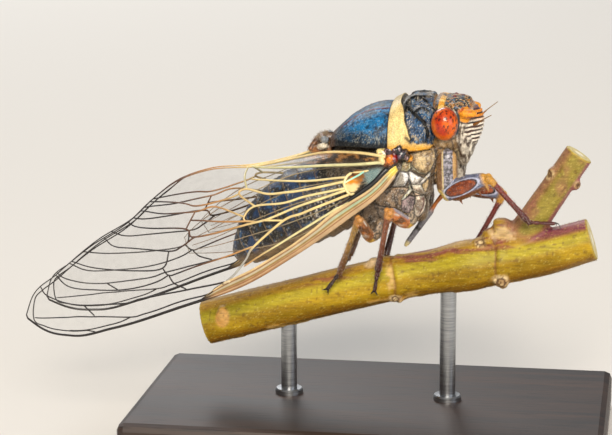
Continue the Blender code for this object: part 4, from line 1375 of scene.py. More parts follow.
@dataclass(frozen=True)
class Section:
    """Shape of an upright section: where it is widest, and how square it is above and below."""

    waist: float
    upper: float
    lower: float

    def rows(self, rows: Rows, count: int, sides: int, rounding: float = 0.0) -> Array:
        """Grid of sections square to X through rows of (x, half width, top, low).

        Args:
            rows: The table.
            count: Sections to make.
            sides: Points round each.
            rounding: Length over which the ends are rounded off.

        Returns:
            Sections by sides of points.
        """
        first, last = rows[0][0], rows[-1][0]
        s = np.linspace(0, 1, count)
        x = first + (last - first) * (s - 0.08 * np.sin(2 * math.pi * s))
        half, top, low = (SmoothTable(rows)(x)[:, k : k + 1] for k in range(3))
        turn = 2 * math.pi * (np.arange(sides) + 0.5)[None, :] / sides
        c, w = np.cos(turn), np.sin(turn)
        power = np.where(w > 0, self.upper, self.lower)
        middle = low + (top - low) * self.waist
        reach = np.where(w > 0, top - middle, middle - low)
        y = half * np.sign(c) * np.abs(c) ** (2 / power)
        z = middle + reach * np.sign(w) * np.abs(w) ** (2 / power)
        grid = np.stack([np.broadcast_to(x[:, None], y.shape), y, z], axis=-1)
        if rounding:
            near = np.minimum(np.abs(x - first), np.abs(x - last))
            inset = 1 - np.sqrt(1 - np.clip(1 - near / rounding, 0, 1) ** 2)
            core = np.stack([x, 0 * x, (top + low)[:, 0] / 2], axis=-1)[:, None, :]
            size = np.linalg.norm(grid - core, axis=-1, keepdims=True)
            grid = grid - (grid - core) / size * (inset * rounding)[:, None, None]
        return grid


DOME = Section(0.1, 2.5, 3.5)
BARREL = Section(0.62, 3.4, 2.2)
OVAL = Section(0.48, 2.1, 2.2)


def right_side(points: Array) -> Array:
    """Fold points on to the right side, where the markings are defined."""
    folded = points.copy()
    folded[:, 1] = -np.abs(folded[:, 1])
    return folded


def clear_of_ball(points: Array, centre: Array, radii: Array) -> Array:
    """Move points that lie in an ellipsoid out to its surface."""
    off = (points - centre) / radii
    far = np.linalg.norm(off, axis=1, keepdims=True)
    return np.where(far < 1, centre + off / np.maximum(far, 1e-6) * radii, points)


@dataclass
class Back:
    """Pronotum with its cream collar, blue mesonotum, and the cross-shaped ridge behind it."""

    pronotum: Rows = (
        (5.10, 2.60, 27.55, 24.55),
        (4.85, 3.20, 27.98, 24.15),
        (4.2, 3.60, 28.08, 23.9),
        (3.2, 3.95, 28.02, 23.8),
        (2.45, 4.10, 27.82, 23.8),
        (2.25, 4.30, 27.95, 23.8),
        (1.8, 4.50, 27.80, 23.8),
        (1.38, 4.45, 27.55, 23.95),
    )
    mesonotum: Rows = (
        (1.5, 4.05, 27.33, 24.05),
        (0.3, 4.14, 27.22, 24.1),
        (-0.9, 3.95, 26.75, 24.15),
        (-2.0, 3.42, 26.05, 24.1),
        (-2.8, 2.65, 25.3, 24.0),
        (-3.4, 1.90, 24.75, 23.8),
    )
    cross: Rows = (
        (-3.3, 1.35, 24.5, 23.1),
        (-4.1, 1.25, 24.4, 23.05),
        (-4.6, 0.95, 24.0, 23.0),
        (-5.0, 0.55, 23.5, 22.95),
    )
    # Raised arm of the cross, from one side over to the other.
    cross_arm: Rows = (
        (-3.45, 1.35, 24.3),
        (-3.95, 1.1, 24.3),
        (-4.2, 0.5, 24.42),
        (-4.45, -0.1, 24.32),
        (-4.8, -0.55, 23.95),
        (-5.2, -0.9, 23.4),
    )
    # Grey bead in a painted dark pit, and a cream lump, beside the cross.
    bead: Ball = ((-3.9, -1.45, 24.38), (0.28, 0.28, 0.28))
    lump: Ball = ((-4.0, -1.5, 23.86), (0.42, 0.32, 0.22))
    # Front edge of the collar: (height, x).
    collar_edge: Rows = (
        (28.2, 2.12),
        (27.86, 2.21),
        (27.21, 2.50),
        (26.31, 2.72),
        (25.65, 2.97),
        (25.06, 3.22),
        (24.66, 3.6),
        (24.56, 4.4),
        (24.35, 5.4),
    )
    # Black grooves between the lobes of the pronotum, on its right side.
    fissures: tuple[Rows, ...] = (
        ((2.75, -2.5, 27.4), (3.36, -3.1, 26.95), (3.98, -3.25, 26.45), (4.75, -3.0, 25.95)),
        ((3.7, -1.3, 28.0), (4.3, -2.0, 27.6), (4.93, -2.5, 27.0)),
        ((2.72, -2.9, 27.0), (2.75, -1.9, 27.65), (3.3, -1.25, 27.98), (3.7, -1.3, 28.0), (4.5, -1.2, 27.9)),
        ((3.36, -3.1, 26.95), (3.9, -2.6, 27.25), (4.5, -2.7, 27.0)),
        ((4.2, -3.4, 26.3), (4.5, -3.5, 25.7), (4.55, -3.5, 25.2)),
    )
    red_line: Rows = (
        (1.3, -1.95, 27.1),
        (0.4, -2.0, 27.05),
        (-0.61, -1.85, 26.74),
        (-1.58, -1.95, 26.19),
        (-2.5, -1.75, 25.5),
    )

    def build_pronotum(self) -> None:
        """Lobed, wrinkled shield with a smooth cream collar and a yellow lower rim."""
        skin = Skin.of_grid("pronotum_shield", DOME.rows(self.pronotum, 170, 260, 0.22))
        for side in Side:
            centre = np.array(Head.eye_centre) * (1, -side.value, 1)
            centre[1] = Head.eye_centre[1] * side.value
            skin.points = clear_of_ball(skin.points, centre, np.array(Head.eye_radii) + 0.07)
        points = right_side(skin.points)
        edge = points[:, 0] - SmoothTable(self.collar_edge)(points[:, 2])[:, 0]
        edge += 0.10 * (mottle(points, 0.5, 3) - 0.5)
        dark = ease(edge, -0.03, 0.05)
        groove = np.full(len(points), 9.0)
        for line in self.fissures:
            groove = np.minimum(groove, line_distance(points, rounded_line(np.array(line), 0.3)))
        wrinkle = np.abs(mottle(points, 0.46, 11, 2) - 0.5) * 2
        pits = np.abs(mottle(points, 0.21, 44, 2) - 0.5) * 2
        height = -0.17 * np.exp(-((groove / 0.10) ** 2)) + 0.11 * ease(groove, 0.06, 0.5)
        height += 0.02 * (ease(wrinkle, 0.0, 0.25) - 1) + 0.018 * (ease(pits, 0.0, 0.3) - 1)
        collar = 0.05 * ease(-edge, 0.0, 0.25) + 0.02 * (mottle(points * (1, 2.5, 0.4), 0.5, 77, 2) - 0.5)
        skin.push(dark * height + (1 - dark) * collar)
        sheen = mottle(points, 1.0, 21, 3)
        grit = ease(spots(points, 0.13, 5), 0.36, 0.2) * ease(mottle(points, 0.6, 6, 2), 0.34, 0.52)
        threads = (
            ease(np.abs(mottle(points, 0.36, 62, 2) - 0.5), 0.035, 0.012)
            * ease(mottle(points, 0.9, 63, 2), 0.35, 0.5)
        )
        lobe = ease(groove, 0.5, 0.16) * ease(mottle(points, 0.5, 8, 2), 0.45, 0.6)
        crown = ease(points[:, 2], 27.45, 27.95) * ease(mottle(points, 0.35, 9, 2), 0.42, 0.58)
        low = (
            ease(points[:, 2] + 0.3 * edge, 25.6, 25.2)
            * ease(mottle(points * (0.5, 1, 1.5), 0.3, 91, 2), 0.52, 0.62)
        )
        strip = ease(points[:, 0], 4.78, 4.95) * ease(points[:, 2], 27.2, 27.4)
        colours = layered(
            "04080F",
            ("134A76", ease(sheen, 0.4, 0.6)),
            ("3478A8", ease(mottle(points, 0.5, 29, 2), 0.6, 0.76) * 0.7),
            ("05070A", ease(pits, 0.2, 0.05) * 0.8),
            ("E2D6BE", grit * 0.85),
            ("C6BFAE", threads * 0.7),
            ("7E7466", lobe * 0.35),
            ("010203", ease(groove, 0.20, 0.12)),
            ("040506", ease(edge, 0.24, 0.12)),
            ("857B6D", crown * 0.5),
            ("C9AE78", low * ease(edge, 0.9, 0.3) * 0.8),
            ("C98F36", strip * 0.8),
        )
        shade = ease(mottle(points * (1, 1.5, 0.35), 0.55, 15, 3), 0.5, 0.75)
        tooth = line_distance(points, np.array(((2.85, -4.0, 25.15), (3.3, -3.9, 24.75))))
        cream = layered(
            "F3D890",
            ("DFA02E", ease(points[:, 2], 25.0, 24.2)),
            ("BE9458", shade * 0.35),
            ("D8C698", ease(points[:, 2], 27.3, 27.8) * 0.5),
            ("6B4426", ease(points[:, 0], 1.50, 1.38)),
            ("7E5420", ease(points[:, 2], 24.2, 23.98) * 0.8),
            ("2A2024", ease(tooth, 0.2, 0.08) * 0.8),
        )
        skin.paint(mixed(cream, colours, dark))
        growth = (
            dark * (0.25 + ease(groove, 0.5, 0.2)) * ease(groove, 0.12, 0.2)
            + 0.3 * ease(points[:, 2], 24.3, 24.05)
        )
        Coat("coat_pronotum", 2200, 0.11, (-1.0, 0.0, -0.3), 0.018, 0.4, "E4DAC6", 0.55, 11).grow(
            skin, "dark_cuticle", growth
        )
        skin.piece(
            PaintedCuticle(
                "cuticle_pronotum_satin", rough=0.42, grain_mm=0.09, bump_mm=0.012, coat=0.02, frost=0.3, shine=0.25
            ),
            "dark_cuticle",
            "pronotum",
        )

    def build_mesonotum(self) -> None:
        """Smoothly domed blue plate with a granular lower band."""
        skin = Skin.of_grid("mesonotum_dome", DOME.rows(self.mesonotum, 140, 220, 0.2))
        points = right_side(skin.points)
        line = line_distance(points[:, :2], rounded_line(np.array(self.red_line), 0.2)[:, :2])
        pits = mottle(points, 0.2, 2, 2)
        folds = np.abs(mottle(points, 0.9, 33, 2) - 0.5) * 2
        skin.push(0.035 * (pits - 0.5) - 0.05 * np.exp(-((line / 0.07) ** 2)) - 0.03 * ease(folds, 0.08, 0.0))
        rear = ease(points[:, 0], -0.6, -2.2) * ease(points[:, 2], 24.5, 25.0)
        scratches = ease(np.abs(mottle(points * (1, 1, 1.6), 0.3, 17, 2) - 0.5), 0.03, 0.01)
        top = ease(points[:, 2] - SmoothTable(self.mesonotum)(points[:, 0])[:, 1], -0.22, -0.04)
        crumbs = ease(spots(points, 0.2, 41), 0.34, 0.2) * ease(mottle(points, 0.5, 43, 2), 0.45, 0.6)
        low = ease(points[:, 2] + 0.4 * (mottle(points, 0.5, 73, 2) - 0.5), 25.7, 25.1)
        grain = ease(spots(points, 0.105, 18), 0.5, 0.3) * ease(mottle(points, 0.4, 19, 2), 0.25, 0.5)
        band = mixed("06182A", "C2C0AC", grain * 0.62)
        tail = ease(points[:, 0], -2.7, -3.2)
        colours = layered(
            "063455",
            ("1A78B2", ease(mottle(points, 0.8, 4, 3), 0.28, 0.62)),
            ("1C74B4", rear * 0.6),
            ("04111C", ease(mottle(points, 0.16, 6, 1), 0.56, 0.7) * 0.75),
            ("6FA6C8", scratches * 0.55),
            ("0C1C2C", ease(folds, 0.10, 0.02) * 0.8),
            ("8FB4C8", ease(mottle(points, 0.12, 16, 1), 0.76, 0.88) * 0.6),
            ("5C5347", top * ease(mottle(points, 0.4, 14, 2), 0.4, 0.62) * 0.6),
            ("050A10", crumbs * 0.6),
            (band, low * 0.8),
            # Painted shade: near black along the lowest edge, a dark gap over the thorax.
            ("07080A", ease(points[:, 2], 24.75, 24.55) * 0.9),
            ("7E2414", ease(line, 0.12, 0.05)),
            ("5A4030", tail * 0.85),
        )
        skin.paint(colours)
        growth = 0.12 + low + tail + top * 0.5
        Coat("coat_mesonotum", 1800, 0.11, (-1.0, 0.0, -0.3), 0.018, 0.4, "D8CEB6", 0.5, 12).grow(
            skin, "blue_cuticle", growth
        )
        skin.piece(
            PaintedCuticle(
                "cuticle_mesonotum_blue_satin",
                rough=0.46,
                grain_mm=0.09,
                bump_mm=0.014,
                coat=0.02,
                frost=0.1,
                shine=0.25,
            ),
            "blue_cuticle",
            "mesonotum",
        )

    def build_cross(self) -> None:
        """Cross-shaped ridge behind the mesonotum, with a painted dark pit on each side."""
        parts = [Skin.of_grid("base", DOME.rows(self.cross, 30, 48, 0.15))]
        for side in Side:
            s = side.value
            line = rounded_line(np.array(self.cross_arm) * (1, s, 1), 0.1)
            radii = np.interp(np.linspace(0, 1, len(line)), (0, 0.25, 0.6, 1), (0.26, 0.3, 0.32, 0.16))
            parts.append(Skin.of_grid("arm", tube(line, radii, 16)))
            parts.append(Skin.of_ball((-4.35, 1.15 * s, 23.45), (0.65, 0.4, 0.42), 20))
            for (x, y, z), radii in (self.bead, self.lump):
                parts.append(Skin.of_ball((x, -y * s, z), radii, 16))
        skin = Skin.fused("cross_ridge", parts, 0.055, 3)
        points = right_side(skin.points)
        hollow = skin.hollows(10)
        bead, lump = (np.linalg.norm((points - middle) / radii, axis=1) for middle, radii in (self.bead, self.lump))
        colours = layered(
            "43200F",
            ("A26A36", ease(mottle(points, 0.4, 2, 3), 0.35, 0.62)),
            ("9A8C76", ease(points[:, 2], 24.1, 24.55) * ease(mottle(points, 0.3, 12), 0.35, 0.6) * 0.8),
            # Painted shade: a black pit round the grey bead.
            ("0D0B0C", ease(bead, 1.7, 1.35)),
            ("8E969E", ease(bead, 1.3, 1.1)),
            ("EDE2CA", ease(lump, 1.4, 1.15)),
            # Painted shade in the hollows.
            ("0D0908", ease(hollow, 0.010, 0.045)),
        )
        skin.paint(colours)
        Coat("coat_cross", 1500, 0.22, (-1.0, 0.0, -0.2), 0.022, 0.7, "CDB489", 0.6, 13).grow(skin, "brown_cuticle")
        skin.piece(
            PaintedCuticle("cuticle_cross_brown_satin", rough=0.42, grain_mm=0.08, down=0.2),
            "brown_cuticle",
            "scutellum",
        )

    def build(self) -> None:
        """Make all three."""
        self.build_pronotum()
        self.build_mesonotum()
        self.build_cross()


@dataclass(frozen=True)
class FacetedEye(Finish):
    """Compound eye, a clear lens layer over red pigment: glossy, finely faceted, with dark flecks inside."""

    def fill(self, tree: bpy.types.NodeTree, shader: bpy.types.Node) -> None:
        """Painted tint with flecks and a facet pattern under a clear coat."""
        place = self.place(tree)
        tint = add_node(tree, "ShaderNodeAttribute", attribute_name="tint").outputs["Color"]
        # Real facets are about 0.03 mm across, drawn at 0.07 mm so that they show.
        facets = add_node(
            tree, "ShaderNodeTexVoronoi", {"Vector": place, "Scale": 1000 / 0.07}, feature="F1"
        ).outputs["Distance"]
        shade = add_node(
            tree,
            "ShaderNodeMapRange",
            {"Value": facets, "From Min": 0.1, "From Max": 0.7, "To Min": 1.1, "To Max": 0.72},
        ).outputs["Result"]
        colour = add_node(
            tree, "ShaderNodeVectorMath", {0: tint, "Scale": shade}, operation="SCALE"
        ).outputs["Vector"]
        bump = add_node(
            tree, "ShaderNodeBump", {"Height": facets, "Distance": 0.004 * MM, "Strength": 0.35}, invert=True
        ).outputs["Normal"]
        self.settle(shader, Base_Color=colour, Normal=bump, IOR=1.45, Roughness=0.45, Specular_IOR_Level=0.3)
        self.settle(shader, Coat_Weight=0.7, Coat_Roughness=0.03, Coat_IOR=1.45)


@dataclass
class Head:
    """Head with its cross-grooved face, brow plates, three small red eyes, compound eyes, feelers and beak."""

    eye_centre: Place = (5.82, 3.25, 26.2)
    eye_radii: Place = (1.06, 1.10, 1.30)
    # Level sections: (height, back, front, half width).
    skull: Rows = (
        (20.75, 5.75, 6.45, 0.30),
        (21.3, 5.65, 6.85, 0.70),
        (22.2, 5.55, 7.25, 1.15),
        (23.2, 5.4, 7.5, 1.60),
        (24.2, 5.2, 7.8, 2.05),
        (25.2, 5.0, 8.0, 2.40),
        (26.2, 4.95, 8.05, 2.50),
        (27.0, 4.95, 8.0, 2.45),
        (27.6, 5.0, 7.65, 2.05),
        (27.95, 5.15, 7.2, 1.20),
    )
    # Swollen middle of the face: (x, height, half width, depth).
    face: Rows = (
        (7.85, 27.25, 0.55, 0.25),
        (8.05, 26.75, 1.10, 0.50),
        (8.05, 26.0, 1.40, 0.60),
        (7.88, 25.2, 1.50, 0.65),
        (7.55, 24.3, 1.35, 0.62),
        (7.15, 23.4, 1.00, 0.50),
        (6.75, 22.6, 0.60, 0.30),
    )
    ridge_step: float = 0.33
    ridge_slant: float = 0.04
    # Side edge of the ridged face: (height, half width).
    ridge_edge: Rows = (
        (24.3, 0.9), (24.6, 1.75), (25.2, 2.0), (25.8, 1.98), (26.2, 1.75), (26.6, 1.35), (27.25, 0.8)
    )
    feeler: Rows = ((8.0, 2.05, 26.0), (8.35, 2.32, 26.2), (8.75, 2.72, 26.52), (9.45, 3.35, 27.0))
    beak: Rows = (
        (5.75, 0.0, 20.9),
        (5.62, 0.0, 20.22),
        (4.95, 0.0, 19.3),
        (4.55, 0.0, 18.65),
        (3.6, 0.0, 17.3),
        (2.75, 0.0, 16.05),
        (2.48, 0.0, 15.65),
    )
    ocelli: Rows = ((6.35, -0.7, 27.96), (6.35, 0.7, 27.96), (6.95, 0.0, 27.96))
    # Swellings on each side, with y away from the middle, the points round each and how square it is:
    # brow plate, cheek, temple, crown's side, foot of the face and the pad behind the eye.
    swellings: tuple[tuple[Place, Place, int, float], ...] = (
        ((7.45, 1.98, 26.85), (0.78, 0.55, 0.36), 24, 2.4),
        ((7.25, 1.6, 24.2), (0.62, 0.6, 1.55), 24, 2.0),
        ((6.4, 1.85, 25.0), (0.75, 0.7, 1.2), 24, 2.0),
        ((6.5, 1.95, 27.3), (0.6, 0.5, 0.4), 20, 2.0),
        ((6.6, 0.62, 22.0), (0.62, 0.5, 1.2), 20, 2.0),
        ((5.6, 2.15, 24.62), (0.95, 0.8, 0.62), 24, 2.0),
    )

    def ring_wave(self, points: Array) -> Array:
        """1 on a ridge of the face and 0 in a groove."""
        height = points[:, 2] - self.ridge_slant * (points[:, 0] - 8.0)
        return 0.5 - 0.5 * np.cos(2 * math.pi * (height - 24.4) / self.ridge_step)

    def skull_grid(self, count: int, sides: int) -> Array:
        """Level sections of the skull, flat behind and rounded in front."""
        z = np.linspace(self.skull[0][0], self.skull[-1][0], count)
        back, front, half = (SmoothTable(self.skull)(z)[:, k : k + 1] for k in range(3))
        turn = 2 * math.pi * (np.arange(sides) + 0.5)[None, :] / sides
        c, w = np.cos(turn), np.sin(turn)
        power = np.where(w > 0, 2.3, 4.0)
        middle = back + (front - back) * 0.35
        reach = np.where(w > 0, front - middle, middle - back)
        y = half * np.sign(c) * np.abs(c) ** (2 / power)
        x = middle + reach * np.sign(w) * np.abs(w) ** (2 / power)
        return np.stack([x, y, np.broadcast_to(z[:, None], y.shape)], axis=-1)

    def face_grid(self, count: int, sides: int) -> Array:
        """Half-round level sections of the swollen face."""
        rows = tuple((-z, x, half, depth) for x, z, half, depth in self.face)
        place = np.linspace(rows[0][0], rows[-1][0], count)
        x, half, depth = (SmoothTable(rows)(place)[:, k : k + 1] for k in range(3))
        turn = np.linspace(0, 2 * math.pi, sides, endpoint=False)[None, :]
        w = np.sin(turn)
        return np.stack(
            [x - 0.6 + np.where(w > 0, (0.6 + depth) * w, 0.5 * w), half * np.cos(turn), -place[:, None] + 0 * turn],
            axis=-1,
        )

    def build_skull(self) -> None:
        """Fused skin of the head, with its markings and painted shade."""
        parts = [Skin.of_grid("skull", self.skull_grid(70, 72)), Skin.of_grid("face", self.face_grid(90, 60))]
        for side in Side:
            parts += [Skin.of_ball((x, y * side.value, z), *shape) for (x, y, z), *shape in self.swellings]
        parts.append(Skin.of_ball((5.35, 0.0, 26.92), (0.62, 2.75, 1.12), 32, 2.6))
        parts.append(Skin.of_ball((6.6, 0.0, 27.68), (1.1, 0.9, 0.38), 24))
        parts += [Skin.of_ball(place, (0.17, 0.17, 0.15), 16) for place in self.ocelli]
        skin = Skin.fused("head_capsule", parts, 0.07, 3)
        points = right_side(skin.points)
        x, y, z = points.T
        half = SmoothTable(self.ridge_edge)(z)[:, 0]
        on_face = ease(np.abs(y) - half, 0.10, -0.04) * ease(x, 6.95, 7.15)
        on_face *= ease(z, 24.3, 24.5) * ease(z, 27.35, 27.15)
        middle = ease(np.abs(y), 0.24, 0.10)
        wave = self.ring_wave(points)
        skin.push(on_face * (1 - middle) * (0.11 * (wave - 0.6)) - 0.05 * on_face * middle)
        skin.push(0.025 * (mottle(points, 0.16, 3, 2) - 0.5))
        hollow = skin.hollows(8)
        down = mottle(points * (1, 1, 0.5), 0.22, 2, 3)
        blotch = ease(mottle(points, 0.6, 62, 2), 0.48, 0.66)
        cheek = ease(z, 25.4, 24.8) * ease(x, 6.9, 6.4)
        rim = line_distance(
            points, np.array(((6.45, -2.35, 24.75), (6.6, -2.1, 24.2), (6.8, -1.95, 23.5), (6.75, -1.5, 22.6)))
        )
        colours = layered(
            "4E3C28",
            ("EDE3CE", ease(down, 0.38, 0.6)),
            ("3E2C1E", blotch * 0.55),
            ("E4DCCB", ease(mottle(points * (1, 1, 0.4), 0.13, 7, 1), 0.72, 0.86) * 0.6),
            ("A67E40", cheek * 0.75),
            ("5A4326", ease(mottle(points * (1, 1, 0.5), 0.25, 46, 2), 0.5, 0.66) * ease(x, 6.3, 6.0) * 0.6),
            ("D6C294", ease(rim, 0.16, 0.07) * 0.9),
            ("2A1A10", ease(rim, 0.18, 0.26) * ease(rim, 0.4, 0.28) * ease(x, 6.7, 6.5) * 0.8),
        )
        # Crown between the eyes: dark, with yellow, white and blue mottling.
        crown = ease(z, 26.9, 27.35) * ease(x, 8.1, 7.7)
        pattern = layered(
            "050608",
            ("BE7C22", ease(mottle(points, 0.15, 31, 2), 0.5, 0.6)),
            ("EFE2BE", ease(spots(points, 0.15, 36), 0.36, 0.2) * 0.85),
            ("34597A", ease(mottle(points, 0.2, 37, 1), 0.66, 0.78) * 0.8),
            ("C27A22", ease(x, 7.5, 7.8) * ease(mottle(points, 0.3, 39), 0.3, 0.5) * 0.85),
        )
        strip = ease(np.abs(x - 5.6 - 0.06 * y), 0.27, 0.17) * ease(z, 27.0, 27.3) * ease(np.abs(y), 0.5, 0.8)
        brow = np.linalg.norm((points - (7.45, -2.0, 26.75)) / (0.86, 0.75, 0.60), axis=1)
        orange = mixed("F09A0C", "C25A0C", ease(mottle(points, 0.24, 8, 2), 0.5, 0.7))
        colours = layered(
            colours,
            (pattern, crown),
            (mixed("E8A01C", "F2CE74", ease(mottle(points, 0.3, 57), 0.4, 0.6)), strip),
            (orange, ease(brow, 1.12, 0.95)),
            # Painted shadow: a dark crescent just under the brow plate.
            ("140E0B", ease(brow, 0.98, 1.1) * ease(brow, 1.32, 1.18) * ease(z, 26.7, 26.3) * 0.9),
        )
        # Ridges of the face: cream on dark, orange above, with a brown cap.
        upper = mixed("1E0E08", "EC8E0C", ease(wave, 0.24, 0.46))
        ridge = layered(
            "120705",
            ("FFF4E0", ease(wave, 0.4, 0.6)),
            ("7A4018", ease(wave, 0.62, 0.4) * ease(wave, 0.12, 0.3) * 0.6),
            (upper, ease(z, 26.15, 26.45)),
            ("5E4652", ease(z, 26.95, 27.2)),
            ("8E6A40", middle * ease(z, 27.0, 26.0) * 0.8),
            ("9A8F80", ease(np.abs(np.abs(y) - half), 0.16, 0.04) * ease(mottle(points, 0.2, 77), 0.3, 0.6) * 0.6),
        )
        crescent = line_distance(
            points, np.array(((6.62, -2.45, 27.2), (6.86, -2.42, 26.5), (6.84, -2.42, 25.9), (6.7, -2.4, 25.3)))
        )
        around = np.linalg.norm((points - np.array(self.eye_centre) * (1, -1, 1)) / np.array(self.eye_radii), axis=1)
        colours = layered(
            colours,
            (ridge, on_face),
            ("101B28", ease(crescent, 0.17, 0.08)),
            ("B7A27E", ease(around, 1.26, 1.12) * ease(z, 25.9, 25.3) * 0.8),
        )
        for place in self.ocelli:
            away = np.linalg.norm(skin.points - place, axis=1)
            colours = layered(
                colours,
                ("0C090A", ease(away, 0.32, 0.2)),
                ("6E0E1E", ease(away, 0.21, 0.17)),
            )
        # Painted shade in the hollows, off the ridged face.
        colours = mixed(colours, "120B08", ease(hollow, 0.015, 0.05) * (1 - on_face) * 0.85)
        skin.paint(colours)
        growth = (1 - on_face * 0.8) * ease(brow, 1.0, 1.15) * (0.3 + ease(z, 26.0, 24.8) + 0.6 * crown)
        Coat("coat_head", 4000, 0.13, (-0.3, 0.0, -1.0), 0.019, 0.35, "F2E6CF", 0.7, 14).grow(
            skin, "head_cuticle", growth
        )
        skin.piece(
            PaintedCuticle("cuticle_head_waxy_down", rough=0.55, grain_mm=0.09, bump_mm=0.012, down=0.15),
            "head_cuticle",
            "head",
        )

    def build_eyes(self) -> None:
        """Compound eyes, orange-red with dark flecks."""
        for side in Side:
            centre = np.array(self.eye_centre) * (1, side.value, 1)
            skin = Skin.of_ball(centre, self.eye_radii, 120)
            skin.mesh.name = f"compound_eye_{side.word}"
            points = right_side(skin.points)
            off = (points - np.array(self.eye_centre) * (1, -1, 1)) / np.array(self.eye_radii)
            ring = np.hypot(off[:, 0] - 0.08, off[:, 2] - 0.12)
            bent = points + 0.22 * (np.stack([mottle(points, 0.22, 90 + k, 2) for k in range(3)], axis=1) - 0.5)
            flecks = (
                ease(spots(bent * (1, 1, 0.6), 0.26, 17), 0.42, 0.26)
                * ease(off[:, 0] * 0.6 + off[:, 2], -1.2, 0.2)
            )
            fine = ease(spots(bent, 0.15, 27), 0.36, 0.2) * ease(mottle(points, 0.5, 28, 2), 0.4, 0.55)
            colours = layered(
                "C43602",
                ("EA6A06", ease(mottle(points, 0.8, 3), 0.3, 0.62)),
                ("EE7C12", ease(ring, 0.6, 0.95) * ease(off[:, 0] + off[:, 2], 0.5, -0.7) * 0.7),
                ("B32A06", ease(np.abs(ring - 0.5), 0.25, 0.05) * 0.45),
                ("2C0802", np.maximum(flecks * 0.85, fine * 0.65)),
                ("8E2A08", ease(off[:, 1], -0.45, -0.1) * 0.7),
            )
            skin.paint(colours)
            skin.piece(FacetedEye("compound_eye_lens_clear"), "eye", f"eye_{side.word}")

    def build_feelers(self) -> None:
        """Short bristle-like feelers on a stout root."""
        for side in Side:
            line = rounded_line(np.array(self.feeler) * (1, side.value, 1), 0.05)
            s = np.linspace(0, 1, len(line))
            radii = np.interp(s, (0, 0.22, 0.26, 0.42, 0.46, 1), (0.11, 0.10, 0.07, 0.06, 0.04, 0.03))
            skin = Skin.of_grid(f"feeler_{side.word}", tube(line, radii, 14))
            tone = mixed("8A5A24", "8C6B3A", ease(s, 0.25, 0.7))
            tone = np.repeat(tone, 14, axis=0)
            skin.paint(np.vstack([tone, tone[:1], tone[-1:]]))
            skin.piece(
                PaintedCuticle("cuticle_feeler_satin", rough=0.4, grain_mm=0.06, bump_mm=0.004),
                "dark_cuticle",
                f"antenna_{side.word}",
            )

    def build_beak(self) -> None:
        """Jointed beak that points down and back, orange, then grey and bristly, with a yellow tip."""
        line = rounded_line(np.array(self.beak), 0.06)
        s = np.linspace(0, 1, len(line))
        radii = np.interp(
            s, (0, 0.10, 0.30, 0.40, 0.44, 0.70, 0.73, 0.93, 1), (0.3, 0.22, 0.15, 0.16, 0.25, 0.25, 0.23, 0.21, 0.12)
        )
        skin = Skin.of_grid("beak", tube(line, radii, 20, up=(1, 0, 0)))
        tone = layered(
            "B4682A",
            ("7E7C82", ease(s, 0.36, 0.46)),
            ("35302E", ease(np.abs(s - 0.71), 0.03, 0.012)),
            ("CFC08A", ease(s, 0.9, 0.95)),
        )
        tone = np.repeat(tone, 20, axis=0)
        skin.paint(np.vstack([tone, tone[:1], tone[-1:]]))
        growth = np.append(np.repeat(ease(s, 0.36, 0.46), 20), (0, 1))
        Coat("coat_beak", 700, 0.16, (-0.6, 0.0, -1.0), 0.024, 0.7, "F2F0EA", 0.8, 16).grow(
            skin, "beak_cuticle", growth
        )
        skin.piece(
            PaintedCuticle("cuticle_beak_satin", rough=0.42, grain_mm=0.1, down=0.15), "beak_cuticle", "rostrum"
        )

    def build(self) -> None:
        """Make the head's pieces."""
        self.build_skull()
        self.build_eyes()
        self.build_feelers()
        self.build_beak()


@dataclass(frozen=True)
class SidePlate:
    """One hard plate of the thorax's side: how far it swells, its two tones, and its corners (x, z)."""

    swell: float
    dark: str
    light: str
    corners: Rows


